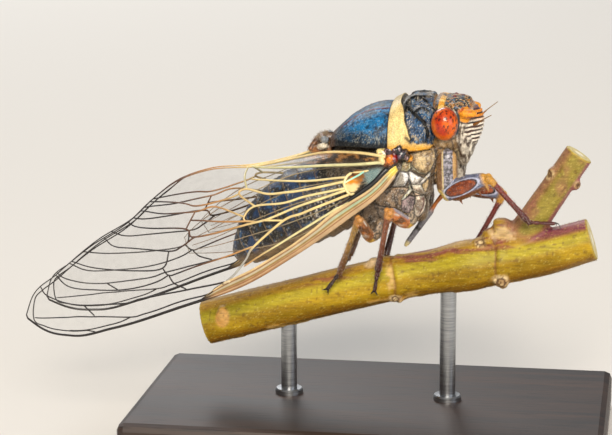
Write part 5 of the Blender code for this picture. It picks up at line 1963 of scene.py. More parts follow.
@dataclass
class Trunk:
    """Lower thorax with its side plates, the wing roots and the ringed abdomen."""

    thorax: Rows = (
        (5.1, 2.1, 23.9, 22.2),
        (4.2, 2.75, 24.2, 20.2),
        (3.2, 3.1, 24.3, 18.8),
        (2.0, 3.25, 24.4, 18.1),
        (0.5, 3.25, 24.8, 17.7),
        (-1.0, 3.2, 24.8, 17.4),
        (-2.4, 2.9, 24.3, 17.4),
        (-3.6, 2.5, 23.2, 17.8),
    )
    # Swellings under the plates: middle and half sizes, with y away from the middle.
    swellings: tuple[Ball, ...] = (
        ((4.15, 2.62, 22.95), (1.15, 0.72, 1.0)),
        ((2.5, 2.72, 21.85), (0.98, 0.7, 1.1)),
        ((4.0, 2.38, 21.3), (0.88, 0.72, 1.1)),
        ((1.5, 2.48, 19.95), (1.68, 0.85, 1.45)),
        ((3.7, 2.0, 19.4), (0.82, 0.85, 1.25)),
        ((-0.9, 2.28, 19.6), (1.35, 0.85, 1.6)),
        ((0.4, 1.85, 17.95), (0.95, 0.85, 0.95)),
        ((5.0, 1.6, 22.4), (0.5, 0.9, 1.3)),
        ((5.25, 2.05, 23.95), (0.62, 0.85, 0.5)),
    )
    plates: dict[str, SidePlate] = field(
        default_factory=lambda: {
            "rear_flank": SidePlate(0.05, "3A2C22", "7E6A54", (
                (-3.2, 22.6), (0.1, 22.4), (0.1, 19.8), (0.85, 19.5), (1.6, 19.3), (0.6, 18.0), (-2.0, 17.6),
                (-3.4, 19.0),
            )),
            "low_flank": SidePlate(0.09, "463422", "957A5C", (
                (0.2, 20.15), (0.85, 20.75), (1.75, 21.05), (2.7, 21.1), (3.15, 20.95), (2.95, 20.6), (2.55, 20.1),
                (2.5, 19.4), (1.8, 19.4), (0.85, 19.55), (0.2, 19.8),
            )),
            "under_coxa": SidePlate(0.05, "4A3C32", "7C6B5A", ((0.6, 19.3), (2.4, 19.25), (2.4, 18.2), (0.9, 17.6))),
            "shield": SidePlate(0.16, "8A6C42", "D2B886", (
                (3.0, 23.9), (3.4, 24.6), (4.9, 24.6), (5.15, 23.4), (4.93, 22.85), (4.73, 22.4), (4.38, 22.2),
                (3.88, 22.32), (3.38, 22.75), (3.18, 23.05),
            )),
            "shield_lip": SidePlate(0.14, "B99C70", "EBDCB8", (
                (3.18, 22.98), (3.38, 22.73), (3.88, 22.3), (4.38, 22.18), (4.33, 22.1), (3.83, 22.2), (3.28, 22.63),
                (3.1, 22.93),
            )),
            "upper_grey": SidePlate(0.10, "A69C90", "F4EFE6", (
                (3.12, 22.4), (3.32, 22.32), (3.75, 21.98), (4.3, 21.82), (4.2, 21.5), (4.0, 21.22), (3.2, 21.22),
                (3.05, 21.65),
            )),
            "cream_bar": SidePlate(0.16, "DDCBA4", "FFF6E0", (
                (4.8, 22.27), (4.7, 21.97), (4.1, 21.37), (3.9, 21.5), (4.25, 21.87), (4.65, 22.27),
            )),
            "tan_corner": SidePlate(
                0.10, "7C6440", "B99E70", ((4.65, 21.85), (4.65, 21.3), (4.37, 20.6), (4.15, 20.95), (4.1, 21.32))
            ),
            "pink_plate": SidePlate(0.10, "94806A", "EEDCC4", (
                (3.28, 21.3), (4.02, 21.3), (4.25, 20.86), (4.4, 20.52), (4.0, 20.46), (3.35, 20.79),
            )),
            "fold": SidePlate(0.06, "5A4638", "B39C82", ((3.3, 20.78), (4.0, 20.46), (4.4, 20.45), (3.55, 20.28))),
            "cream_folds": SidePlate(
                0.14, "A88E54", "F3E2AE", ((2.55, 23.15), (3.25, 23.2), (3.2, 22.6), (2.95, 22.35), (2.45, 22.45))
            ),
            "white_down": SidePlate(0.14, "BDB4A4", "FFFCF4", (
                (2.35, 22.38), (2.95, 22.28), (3.12, 22.0), (3.02, 21.65), (2.8, 21.2), (2.2, 21.12), (1.75, 21.1),
                (2.0, 21.6),
            )),
            "oblique_bar": SidePlate(0.12, "BCA864", "FBF1CC", (
                (3.25, 21.35), (3.32, 20.75), (2.65, 20.02), (2.5, 20.12), (3.08, 20.9), (3.1, 21.3),
            )),
            "coxa_rear": SidePlate(0.10, "4C3E40", "9A8484", (
                (2.55, 20.0), (3.1, 20.35), (3.5, 20.22), (3.42, 19.3), (3.3, 18.85), (3.15, 18.72), (2.65, 19.05),
                (2.5, 19.45),
            )),
            "coxa_front": SidePlate(0.14, "8A745E", "EEDCC6", (
                (3.55, 20.32), (4.3, 20.4), (4.4, 19.85), (4.3, 19.2), (3.85, 18.65), (3.5, 18.75), (3.48, 19.3),
            )),
            "coxa_foot": SidePlate(0.06, "9A7230", "D3A450", ((2.65, 19.0), (3.2, 18.68), (3.3, 18.2), (2.75, 18.4))),
            "front_flank": SidePlate(0.05, "5E401E", "A47C40", (
                (5.2, 24.2), (5.9, 24.2), (5.7, 21.6), (5.1, 20.8), (4.95, 22.0), (5.2, 22.9),
            )),
        }
    )
    abdomen: Rows = (
        (-3.0, 3.1, 2.75, -2.7),
        (-3.9, 3.15, 2.85, -2.75),
        (-4.8, 3.4, 3.05, -2.85),
        (-6.0, 3.6, 3.3, -2.9),
        (-7.6, 3.65, 3.45, -2.8),
        (-9.4, 3.45, 3.2, -2.65),
        (-11.2, 2.95, 2.6, -2.5),
        (-12.8, 2.2, 1.7, -2.2),
        (-14.0, 1.25, 0.6, -1.75),
        (-14.7, 0.45, -0.35, -1.2),
    )
    # Place of the first ring, which the thorax hides, and how many rings follow it.
    first_ring: float = -3.9
    rings: int = 8
    # Small plates at the root of each wing: middle, with y away from the insect's middle, half sizes and tone.
    roots: tuple[tuple[Place, Place, str], ...] = (
        ((1.05, 4.05, 24.0), (0.42, 0.36, 0.26), "EBD08C"),
        ((1.22, 4.12, 23.68), (0.24, 0.36, 0.5), "F0D898"),
        ((1.0, 4.1, 23.28), (0.42, 0.34, 0.22), "E2BC6A"),
        ((1.58, 4.14, 24.05), (0.26, 0.34, 0.36), "33202A"),
        ((1.66, 4.30, 23.42), (0.36, 0.40, 0.40), "DE760E"),
        ((1.45, 4.2, 23.05), (0.34, 0.34, 0.2), "8A4A10"),
        ((2.05, 4.22, 23.5), (0.17, 0.36, 0.36), "8A1410"),
        ((2.02, 4.1, 24.12), (0.2, 0.36, 0.34), "3A1014"),
        ((2.36, 4.0, 24.2), (0.24, 0.42, 0.36), "14151D"),
        ((2.62, 3.92, 23.82), (0.26, 0.42, 0.36), "1A1C26"),
        ((2.42, 4.08, 23.68), (0.14, 0.4, 0.2), "5A4A5C"),
        ((2.84, 3.74, 24.04), (0.18, 0.4, 0.22), "5E3E1C"),
        ((2.92, 3.6, 23.55), (0.22, 0.4, 0.22), "6A5A48"),
        ((3.12, 3.3, 23.4), (0.28, 0.4, 0.28), "D08C1C"),
    )

    def build_thorax(self) -> None:
        """Fused skin of the plates, dark in the seams between them, with painted shadow under the back's plates and
        painted shade in the hollows.
        """
        parts = [Skin.of_grid("barrel", BARREL.rows(self.thorax, 80, 90))]
        for (x, y, z), radii in self.swellings:
            for side in Side:
                parts.append(Skin.of_ball((x, y * side.value, z), radii, 36, 3.0))
        skin = Skin.fused("thorax_side_plates", parts, 0.07, 9)
        points = right_side(skin.points)
        flat = (
            points[:, [0, 2]]
            + 0.035 * (np.stack([mottle(points, 0.35, 81), mottle(points, 0.35, 82)], axis=1) - 0.5)
        )
        facing = ease(np.abs(skin.normals[:, 1]), 0.12, 0.35)
        fine = mottle(points, 0.2, 3, 2)
        creases = np.abs(mottle(points * (1.5, 1.0, 0.7), 0.42, 70, 2) - 0.5)
        colours = mixed("261A10", "7A6040", mottle(points, 0.5, 2, 3))
        height, seam = np.zeros(len(points)), np.zeros(len(points))
        for number, plate in enumerate(self.plates.values()):
            depth = depth_in(flat, np.array(plate.corners))
            cloud = mottle(points * (1.3, 1, 0.7), 0.42, 40 + number, 3)
            lip = ease(depth, 0.02, 0.06) * ease(depth, 0.17, 0.09) * ease(fine, 0.3, 0.55)
            tone = layered(
                linear(plate.dark) * 0.7,
                (np.minimum(linear(plate.light) * 1.12, 1), ease(cloud, 0.36, 0.6)),
                (np.minimum(linear(plate.light) * 1.5, 1), lip * 0.8),
            )
            inside = ease(depth, -0.02, 0.03)
            colours = mixed(colours, tone, inside * facing)
            height = height * (1 - inside) + inside * plate.swell * ease(depth, 0.0, 0.22)
            seam = np.maximum(
                seam * (1 - inside), np.exp(-((depth / (0.035 + 0.04 * fine)) ** 2)) * (0.65 + 0.45 * cloud)
            )
        rim = line_distance(flat, np.array(((4.12, 20.4), (4.17, 19.6), (3.9, 18.9))))
        colours = mixed(colours, "4A1C16", ease(rim, 0.07, 0.03) * facing)
        black = line_distance(flat, np.array(((3.1, 21.75), (3.2, 21.45), (3.3, 20.95), (3.42, 20.55))))
        seam = np.maximum(seam, ease(black, 0.13, 0.05))
        height = height + 0.02 * (fine - 0.5) - 0.03 * ease(creases, 0.03, 0.0) - 0.07 * seam
        skin.push(height * facing)
        frost = ease(spots(points, 0.13, 66), 0.4, 0.22) * ease(mottle(points, 0.5, 67, 2), 0.4, 0.6) * facing
        colours = layered(
            colours,
            ("F5F0E6", frost * 0.5),
            ("3A2E26", ease(creases, 0.03, 0.005) * 0.55),
            ("0A0605", seam * facing * 0.95),
        )
        furry = mixed("2A1C10", "8A6434", ease(mottle(points, 0.3, 68, 2), 0.4, 0.62))
        colours = layered(
            colours,
            # Painted shadow at the top, under the back's plates.
            (colours * 0.5, ease(points[:, 2], 23.6, 24.0) * 0.8),
            # Painted shade in the hollows.
            ("0E0A08", ease(skin.hollows(9), 0.02, 0.07) * 0.8),
            (furry, ease(points[:, 2], 24.0, 24.4)),
        )
        skin.paint(colours)
        sides = ease(np.abs(points[:, 1]), 1.2, 2.0)
        for side in Side:
            near = ease(skin.points[:, 1] * side.value, -0.2, 0.2) * (0.35 + 0.65 * sides) * (1 - 0.6 * seam)
            coat = Coat(f"coat_thorax_{side.word}", 5500, 0.19, (-0.7, 0.0, -1.0), 0.02, 0.35, "F0E4CE", 0.75, 15)
            coat.grow(skin, "thorax_cuticle", near)
        skin.piece(
            PaintedCuticle("cuticle_thorax_waxy_down", rough=0.58, grain_mm=0.10, bump_mm=0.014, down=0.15),
            "thorax_cuticle",
            "thorax",
        )

    def build_wing_roots(self) -> None:
        """Small hard plates that hinge the wings, glossy orange, red and black."""
        for side in Side:
            parts = [Skin.of_ball((x, y * side.value, z), radii, 24, 2.6) for (x, y, z), radii, _ in self.roots]
            skin = Skin.fused(f"wing_root_plates_{side.word}", parts, 0.05, 14)
            points = right_side(skin.points)
            skin.push(0.05 + 0.12 * (mottle(points, 0.4, 9, 2) - 0.5))
            off = np.stack(
                [np.linalg.norm((points - (x, -y, z)) / radii, axis=1) for (x, y, z), radii, _ in self.roots], axis=1
            )
            tones = np.array([linear(code) for *_, code in self.roots])
            colours = tones[np.argmin(off, axis=1)]
            near, second = np.sort(off, axis=1)[:, :2].T
            glint = ease(mottle(points, 0.16, 15, 2), 0.66, 0.78)
            colours = layered(
                colours * 0.45,
                (np.minimum(colours * 1.25, 1), ease(mottle(points, 0.22, 5, 2), 0.35, 0.6)),
                ("100A09", ease(second - near, 0.12, 0.02) * 0.8),
                ("C9A0A8", glint * 0.7),
            )
            skin.paint(colours)
            skin.piece(
                PaintedCuticle("cuticle_wing_root_polished", rough=0.28, grain_mm=0.12, bump_mm=0.008, coat=0.3),
                "brown_cuticle",
            )

    def build_abdomen(self) -> None:
        """Ringed abdomen, blue-black above with pale specks, tan below."""
        count, sides = 300, 200
        first, last = self.abdomen[0][0], self.abdomen[-1][0]
        x = np.linspace(first, last, count)
        half, top, low = (SmoothTable(self.abdomen)(x)[:, k : k + 1] for k in range(3))
        length = (self.first_ring - last) / self.rings
        part = np.mod((self.first_ring - x) / length, 1.0)[:, None]
        swell = 0.16 * (part**1.3 - 0.55) * np.minimum(1.0, half) - 0.10 * ease(part, 0.95, 1.0)
        turn = 2 * math.pi * (np.arange(sides) + 0.5)[None, :] / sides
        c, w = np.cos(turn), np.sin(turn)
        middle = low + (top - low) * OVAL.waist
        reach = np.where(w > 0, top + swell - middle, middle - low + swell)
        y = (half + swell) * np.sign(c) * np.abs(c) ** (2 / 2.1)
        z = middle + reach * np.sign(w) * np.abs(w) ** (2 / 2.15)
        grid = np.stack([x[:, None] + 0 * y, y, z], axis=-1)
        skin = Skin.of_grid("abdomen_rings", to_world(grid))
        local = to_body(skin.points)
        local[:, 1] = -np.abs(local[:, 1])
        points = right_side(skin.points)
        ring = np.mod((self.first_ring - local[:, 0]) / length, 1.0)
        flank = ease(np.linalg.norm((points - (-3.4, -4.0, 19.0)) * (0.8, 0.5, 0.9), axis=1), 2.0, 0.8)
        belly = ease(local[:, 2], -0.6, -1.5)
        under = layered(
            "7A6248",
            ("A98D69", mottle(points, 0.7, 13, 2)),
            ("33261D", ease(ring, 0.88, 0.98) * 0.7),
        )
        colours = layered(
            "0A0E16",
            ("143F70", ease(mottle(points, 0.8, 3, 2), 0.46, 0.68)),
            ("3F7CB4", ease(mottle(points, 0.3, 5, 1), 0.7, 0.85) * 0.7),
            ("E6DCC6", ease(spots(points, 0.2, 8), 0.36, 0.22) * ease(ring, 0.35, 0.75) * 0.85),
            ("16120E", flank * 0.6),
            ("F2ECE0", ease(spots(points, 0.26, 9), 0.40, 0.26) * flank),
            ("9C7A4C", ease(ring, 0.86, 0.97) * 0.75),
            (under, belly),
        )
        skin.paint(colours)
        Coat("coat_abdomen", 9000, 0.26, (-1.0, 0.0, -0.45), 0.026, 0.3, "E9DEC6", 0.6, 17).grow(
            skin, "abdomen_cuticle", 0.25 + belly
        )
        skin.piece(
            PaintedCuticle("cuticle_abdomen_satin", rough=0.42, grain_mm=0.14, bump_mm=0.014, coat=0.1),
            "abdomen_cuticle",
            "abdomen",
        )

    def build(self) -> None:
        """Make the trunk's pieces."""
        self.build_thorax()
        self.build_wing_roots()
        self.build_abdomen()


# --------------------------------------------------------------- legs


@dataclass(frozen=True)
class Leg:
    """Joints of one leg with y away from the middle, its radii, and its colours.

    The colours are those of the coxa, the thigh's outer side, the thigh's edges,
    the knee, the shin above and below, and the foot.
    """

    root: Place
    hip: Place
    knee: Place
    ankle: Place
    toe: Place
    radii: Place
    colours: tuple[str, str, str, str, str, str, str]


@dataclass
class Legs:
    """Six legs that grip the stem, with spined fore thighs."""

    legs: dict[str, Leg] = field(
        default_factory=lambda: {
            "foreleg": Leg(
                (6.0, 2.75, 23.3),
                (6.05, 2.8, 20.5),
                (9.33, 4.0, 22.2),
                (12.46, 2.35, 18.4),
                (14.4, 1.1, 18.1),
                (0.72, 0.86, 0.27),
                ("8A8790", "A8461A", "6E7896", "D09838", "7A2820", "541816", "4E1E18"),
            ),
            "midleg": Leg(
                (3.9, 1.9, 20.2),
                (2.95, 2.3, 17.9),
                (1.7, 5.0, 19.45),
                (0.55, 2.6, 13.9),
                (0.3, 2.3, 12.4),
                (0.8, 0.55, 0.27),
                ("9B8A74", "BE6E2E", "A6A2B0", "D08E42", "8A4E2E", "4A1E16", "3A1A14"),
            ),
            "hindleg": Leg(
                (1.05, 2.1, 18.35),
                (0.0, 2.6, 16.65),
                (-0.65, 5.0, 18.8),
                (-2.46, 2.6, 13.9),
                (-3.5, 2.3, 12.4),
                (0.75, 0.5, 0.27),
                ("8D7860", "B86E2E", "B5803E", "CC8E44", "A8823E", "6E4422", "33201A"),
            ),
        }
    )
    # The left foreleg holds the far flank of the stem.
    fore_left: Rows = ((10.05, 3.6, 19.45), (7.6, 2.85, 14.8), (6.8, 2.5, 13.5))
    # Spines under the fore thigh: place along it, and length beyond the shortest.
    fore_spines: Rows = ((0.22, 0.40), (0.45, 0.16), (0.68, 0.42), (0.80, 0.2), (0.88, 0.3))
    # Outlines of the limbs: place along each, and share of its radius.
    fore_coxa: Rows = ((-0.3, 0.75), (0.0, 0.95), (0.5, 1.0), (0.88, 0.9), (1.08, 0.6))
    coxa: Rows = ((-0.08, 0.7), (0.2, 0.95), (0.55, 1.0), (0.9, 0.78), (1.1, 0.5))
    fore_thigh: Rows = ((-0.02, 0.55), (0.14, 0.85), (0.38, 1.0), (0.64, 0.92), (0.9, 0.62), (1.02, 0.45))
    thigh: Rows = ((-0.02, 0.6), (0.14, 0.85), (0.38, 1.0), (0.64, 0.95), (0.9, 0.8), (1.02, 0.55))
    shin: Rows = ((-0.02, 0.95), (0.05, 1.2), (0.2, 0.92), (0.6, 0.85), (0.92, 1.05), (1.0, 0.9))
    # Joints of the foot: where each starts and ends, and its radius.
    foot: Rows = ((-0.05, 0.16, 0.2), (0.14, 0.42, 0.18), (0.40, 1.0, 0.165))

    def joints(self, kind: str, side: Side) -> list[Array]:
        """Root, hip, knee, ankle and toe of one leg in the world."""
        leg = self.legs[kind]
        places = [leg.root, leg.hip, leg.knee, leg.ankle, leg.toe]
        if kind == "foreleg" and side is Side.LEFT:
            places[2:] = self.fore_left
        return [np.array(p) * (1, side.value, 1) for p in places]

    @staticmethod
    def scaled(shape: Rows, radius: float) -> Rows:
        """Outline of a limb with this radius."""
        return tuple((place, radius * share) for place, share in shape)

    @staticmethod
    def limb(
        start: Array, end: Array, shape: Rows, flat: float = 1.0, up: Sequence[float] = (0, 0, 1), sides: int = 18
    ) -> Skin:
        """Limb with rounded ends.

        Args:
            start: Middle of its start.
            end: Middle of its end.
            shape: Rows of place along it, 0 at the start and 1 at the end, and radius.
            flat: Its width over its height.
            up: Direction of its height.
            sides: Points round it.

        Returns:
            Its skin.
        """
        places = np.linspace(shape[0][0], shape[-1][0], 22)
        radii = SmoothTable(shape)(places)[:, 0]
        # Both ends are rounded.
        length = float(np.linalg.norm(end - start))
        for place, sign in ((places[0], 1), (places[-1], -1)):
            near = np.clip(sign * (places - place) * length / np.maximum(radii, 1e-6), 0, 1)
            radii = radii * np.sqrt(np.clip(1 - (1 - near) ** 2, 0.03, 1))
        return Skin.of_grid("limb", tube(start + places[:, None] * (end - start), radii, sides, flat, up))

    def parts(self, kind: str, side: Side) -> list[Skin]:
        """Closed parts of one leg, before they are fused."""
        root, hip, knee, ankle, toe = self.joints(kind, side)
        coxa, femur, tibia = self.legs[kind].radii
        outward = np.array((0.0, side.value, 0.0))
        upper, flat, thigh = (self.coxa, 0.8, self.thigh)
        if kind == "foreleg":
            upper, flat, thigh = (self.fore_coxa, 1.16, self.fore_thigh)
        made = [self.limb(root, hip, self.scaled(upper, coxa), flat, outward)]
        made.append(Skin.of_ball(hip + (knee - hip) * 0.03, (femur * 0.62, femur * 0.6, femur * 0.62), 24))
        made.append(self.limb(hip, knee, self.scaled(thigh, femur), 0.8))
        across = unit(np.cross(knee - hip, ankle - knee))
        for turn in (-1, 1):
            made.append(Skin.of_ball(knee + across * tibia * 0.62 * turn, (tibia * 0.95,) * 3, 20))
        made.append(self.limb(knee, ankle, self.scaled(self.shin, tibia), 0.92, across, 14))
        for first, last, radius in self.foot:
            start, end = ankle + (toe - ankle) * first, ankle + (toe - ankle) * last
            made.append(
                self.limb(
                    start, end, ((0.0, radius * 0.75), (0.7, radius), (1.05, radius * 0.8)), 1.0, (0, 1, 0.2), 12
                )
            )
        made += self.claws(kind, side) + self.thorns(kind, side)
        return made

    def claws(self, kind: str, side: Side) -> list[Skin]:
        """Pair of hooked claws that reach the bark."""
        *_, ankle, toe = self.joints(kind, side)
        ahead = unit(toe - ankle)
        on_top = kind == "foreleg" and side is Side.RIGHT
        sideways = unit(np.cross(ahead, (0, 0, 1) if on_top else (0, 1, 0)))
        grip = np.array((0, 0, -1.0) if on_top else (0, -side.value, 0.0))
        made = []
        for turn in (-1, 1):
            bend = toe + ahead * 0.22 + sideways * 0.2 * turn - grip * 0.04
            tip = toe + ahead * 0.42 + sideways * 0.3 * turn + grip * 0.34
            line = rounded_line(np.array((toe - ahead * 0.1, bend, tip)), 0.05)
            made.append(Skin.of_grid("claw", tube(line, np.linspace(0.095, 0.03, len(line)), 8)))
        return made

    def thorns(self, kind: str, side: Side) -> list[Skin]:
        """Spines under the fore thigh and at the ends of the shins."""
        _, hip, knee, ankle, _ = self.joints(kind, side)
        _, femur, tibia = self.legs[kind].radii
        made = []
        if kind == "foreleg":
            down = unit(np.array((0, 0, -1.0)) + unit(knee - hip) * 0.5)
            for place, reach in self.fore_spines:
                foot = hip + (knee - hip) * place + down * femur * 0.55
                line = foot + down * np.linspace(0, 0.32 + reach, 8)[:, None]
                made.append(Skin.of_grid("spine", tube(line, np.linspace(0.2, 0.03, 8), 10, 1.0, (1, 0, 0))))
        along = unit(ankle - knee)
        first = unit(np.cross(along, (0, 1, 0)))
        second = np.cross(along, first)
        for k in range(4):
            turn = 0.6 + k * math.pi / 2
            out = math.cos(turn) * first + math.sin(turn) * second
            foot = ankle - along * 0.08 + out * tibia * 0.6
            line = foot + (out * 0.45 + along) * np.linspace(0, 0.34, 6)[:, None]
            made.append(Skin.of_grid("spur", tube(line, np.linspace(0.07, 0.025, 6), 8)))
        return made

    @staticmethod
    def along(points: Array, start: Array, end: Array) -> tuple[Array, Array]:
        """Place along a limb, and distance from its axis."""
        line = end - start
        t = (points - start) @ line / (line @ line)
        away = np.linalg.norm(points - start - np.clip(t, 0, 1)[:, None] * line, axis=1)
        return t, away

    def tint(self, skin: Skin, kind: str, side: Side) -> None:
        """Colour a leg limb by limb, with a painted highlight on the shin and painted shade in the hollows."""
        points = skin.points
        root, hip, knee, ankle, toe = self.joints(kind, side)
        leg = self.legs[kind]
        coxa_code, panel, rim, joint, above, below, foot = (linear(code) for code in leg.colours)
        limbs = [(root, hip, leg.radii[0]), (hip, knee, leg.radii[1]), (knee, ankle, leg.radii[2]), (ankle, toe, 0.2)]
        read = [self.along(points, start, end) for start, end, _ in limbs]
        nearest = np.argmin([away / size for (_, away), (*_, size) in zip(read, limbs)], axis=0)
        cloud = mottle(points, 0.5, 5, 3)
        fine = mottle(points, 0.16, 9, 2)
        out = skin.normals[:, 1] * side.value

        t = read[0][0]
        grit = mottle(points, 0.13, 14, 2)
        coxa = mixed(coxa_code * 0.25, np.minimum(coxa_code * 1.5, 1), ease(grit, 0.4, 0.65))
        edge = (points[:, 0] - root[0] - 0.12 * t) / leg.radii[0]
        if kind == "foreleg":
            coxa = layered(
                coxa,
                ("D8C08A", ease(np.abs(edge + 0.42), 0.12, 0.05)),
                (mixed("5E3216", "A47C4A", cloud), ease(edge, -0.48, -0.58)),
                ("C99C5C", ease(edge, 0.62, 0.74)),
                ("7A4A20", ease(edge, 0.95, 1.05) * 0.7),
            )
        else:
            coxa = mixed(coxa, "B79A74", ease(edge, 0.45, 0.8))
        coxa = mixed(coxa, "E0B040", ease(t, 0.9, 0.97))

        t = read[1][0]
        axis = unit(knee - hip)
        lift = unit(np.cross(axis, np.cross((0, 0, 1.0), axis)))
        height = np.einsum("ij,j->i", points - hip, lift) / leg.radii[1]
        if kind == "foreleg":
            oval = ((t - 0.42) / 0.36) ** 2 + ((height - 0.08) / 0.55) ** 2
            frost = ease(spots(points, 0.13, 77), 0.42, 0.24) * ease(mottle(points, 0.4, 78, 2), 0.35, 0.55)
            inner = mixed(panel * 0.42, "A04A14", ease(mottle(points * (1, 1, 2.5), 0.35, 80, 2), 0.42, 0.68))
            body = layered(
                rim * 0.7,
                (rim * 1.2, cloud),
                ("DADCEC", frost * 0.85),
                ("16141C", ease(spots(points, 0.15, 79), 0.36, 0.2) * 0.8),
                ("7B451F", ease(height, -0.45, -0.7)),
                ("C6CAE2", ease(oval, 1.62, 1.4) * ease(oval, 1.1, 1.22) * 0.85),
                ("1D1513", ease(oval, 1.22, 1.1) * ease(oval, 0.85, 1.0)),
            )
            thigh = mixed(body, inner, ease(oval, 1.02, 0.85))
        else:
            streak = mottle(np.stack([t * 3, height * 2, out], axis=1), 0.8, 27, 2)
            thigh = layered(
                panel * 0.55,
                (np.minimum(panel * 1.2, 1), ease(cloud, 0.3, 0.7)),
                ("3A1E12", ease(streak, 0.56, 0.66) * 0.8),
                (rim, ease(height, 0.1, 0.5) * ease(streak, 0.3, 0.42)),
                ("E8DFD0", ease(streak, 0.42, 0.34) * ease(t, 0.25, 0.5) * 0.8),
            )
        thigh = layered(
            thigh,
            (joint, ease(t, 0.84, 0.95)),
            ("E2C46A", ease(t, 0.06, -0.03)),
        )

        t = read[2][0]
        across = unit(np.cross(knee - hip, ankle - knee))
        side_way = np.abs((points - knee) @ across) / leg.radii[2]
        shin = mixed(above, below, ease(t + 0.2 * (cloud - 0.5), 0.35, 0.85))
        shin = layered(
            shin,
            # Painted highlight: a lighter copy of the shin's colour along its two edges in the leg's plane.
            (np.minimum(shin * 1.9 + 0.03, 1), ease(side_way, 0.35, 0.1) * 0.7),
            (below * 0.5, ease(fine, 0.6, 0.75) * 0.6),
            (joint, ease(t, 0.10, 0.0)),
        )

        t = read[3][0]
        tarsus = layered(
            foot,
            (foot * 2.2, ease(fine, 0.4, 0.7) * 0.5),
            ("0C0807", ease(t, 0.95, 1.02)),
        )
        colours = np.choose(nearest[:, None], [coxa, thigh, shin, tarsus])
        # Painted shade in the hollows.
        hollow = skin.hollows(6)
        colours = mixed(colours, "140D0A", ease(hollow, 0.012, 0.045) * 0.85)
        skin.paint(colours)

    def bristles(self, skin: Skin, kind: str, side: Side) -> None:
        """Grow short bristles, densest on the shin and smallest on the foot."""
        _, hip, knee, ankle, toe = self.joints(kind, side)
        shin, away = self.along(skin.points, knee, ankle)
        on_shin = ease(away, 0.5, 0.4) * ease(shin, 0.0, 0.1) * ease(shin, 1.05, 0.98)
        foot, far = self.along(skin.points, ankle, toe)
        on_foot = ease(far, 0.4, 0.3) * ease(foot, 0.05, 0.1)
        way = tuple(unit(ankle - knee))
        name, seed = f"coat_{kind}_{side.word}", 20 + len(kind) + side.value
        Coat(f"{name}_shin", 420, 0.2, way, 0.024, 0.75, "EFE6D8", 0.5, seed).grow(skin, "leg_cuticle", on_shin)
        rest = (1 - on_shin) * (1 - on_foot) * 0.9 + on_foot * 0.35 + 0.02
        thigh = tuple(unit(hip - knee) + np.array((0.0, 0.0, -0.4)))
        Coat(f"{name}_down", 1500, 0.12, thigh, 0.02, 0.35, "F2EADB", 0.5, seed + 7).grow(skin, "leg_cuticle", rest)

    def build(self) -> None:
        """Make all six legs."""
        finish = PaintedCuticle("cuticle_leg_satin", rough=0.38, grain_mm=0.08, bump_mm=0.010, coat=0.2, frost=0.12)
        for kind in self.legs:
            for side in Side:
                skin = Skin.fused(f"{kind}_limb_{side.word}", self.parts(kind, side), 0.052, 2)
                skin.push(0.02 * (mottle(skin.points, 0.3, 3, 2) - 0.5))
                self.tint(skin, kind, side)
                self.bristles(skin, kind, side)
                skin.piece(finish, "leg_cuticle", f"{kind}_{side.word}")


# --------------------------------------------------------------- stem


@dataclass(frozen=True)
class LivingBark(Finish):
    """Young green bark: a thin waxy skin over living tissue, so softly glossy, with fine fibres along the stem."""

    rough: float = 0.5

    def fill(self, tree: bpy.types.NodeTree, shader: bpy.types.Node) -> None:
        """Painted tint with lengthwise fibres and fine breathing pores."""
        place = self.place(tree)
        tint = add_node(tree, "ShaderNodeAttribute", attribute_name="tint").outputs["Color"]
        stretched = add_node(
            tree,
            "ShaderNodeMapping",
            {"Vector": place, "Rotation": (0.0, math.radians(14.0), 0.0), "Scale": (0.16, 1.0, 1.0)},
        ).outputs["Vector"]
        # Fibres about 0.12 mm apart.
        fibres = add_node(
            tree, "ShaderNodeTexNoise", {"Vector": stretched, "Scale": 1000 / 0.22, "Detail": 4.0, "Roughness": 0.6}
        ).outputs["Fac"]
        pores = add_node(
            tree, "ShaderNodeTexVoronoi", {"Vector": place, "Scale": 1000 / 0.24}, feature="F1"
        ).outputs["Distance"]
        shade = add_node(
            tree,
            "ShaderNodeMapRange",
            {"Value": fibres, "From Min": 0.3, "From Max": 0.7, "To Min": 0.72, "To Max": 1.22},
        ).outputs["Result"]
        dots = add_node(
            tree,
            "ShaderNodeMapRange",
            {"Value": pores, "From Min": 0.08, "From Max": 0.22, "To Min": 1.25, "To Max": 1.0},
        ).outputs["Result"]
        both = add_node(tree, "ShaderNodeMath", {0: shade, 1: dots}, operation="MULTIPLY").outputs["Value"]
        colour = add_node(tree, "ShaderNodeVectorMath", {0: tint, "Scale": both}, operation="SCALE").outputs["Vector"]
        height = add_node(tree, "ShaderNodeMath", {0: fibres, 1: dots}, operation="ADD").outputs["Value"]
        bump = add_node(
            tree, "ShaderNodeBump", {"Height": height, "Distance": 0.03 * MM, "Strength": 0.7}
        ).outputs["Normal"]
        self.settle(
            shader, Base_Color=colour, Normal=bump, IOR=1.45, Roughness=self.rough, Specular_IOR_Level=0.35
        )


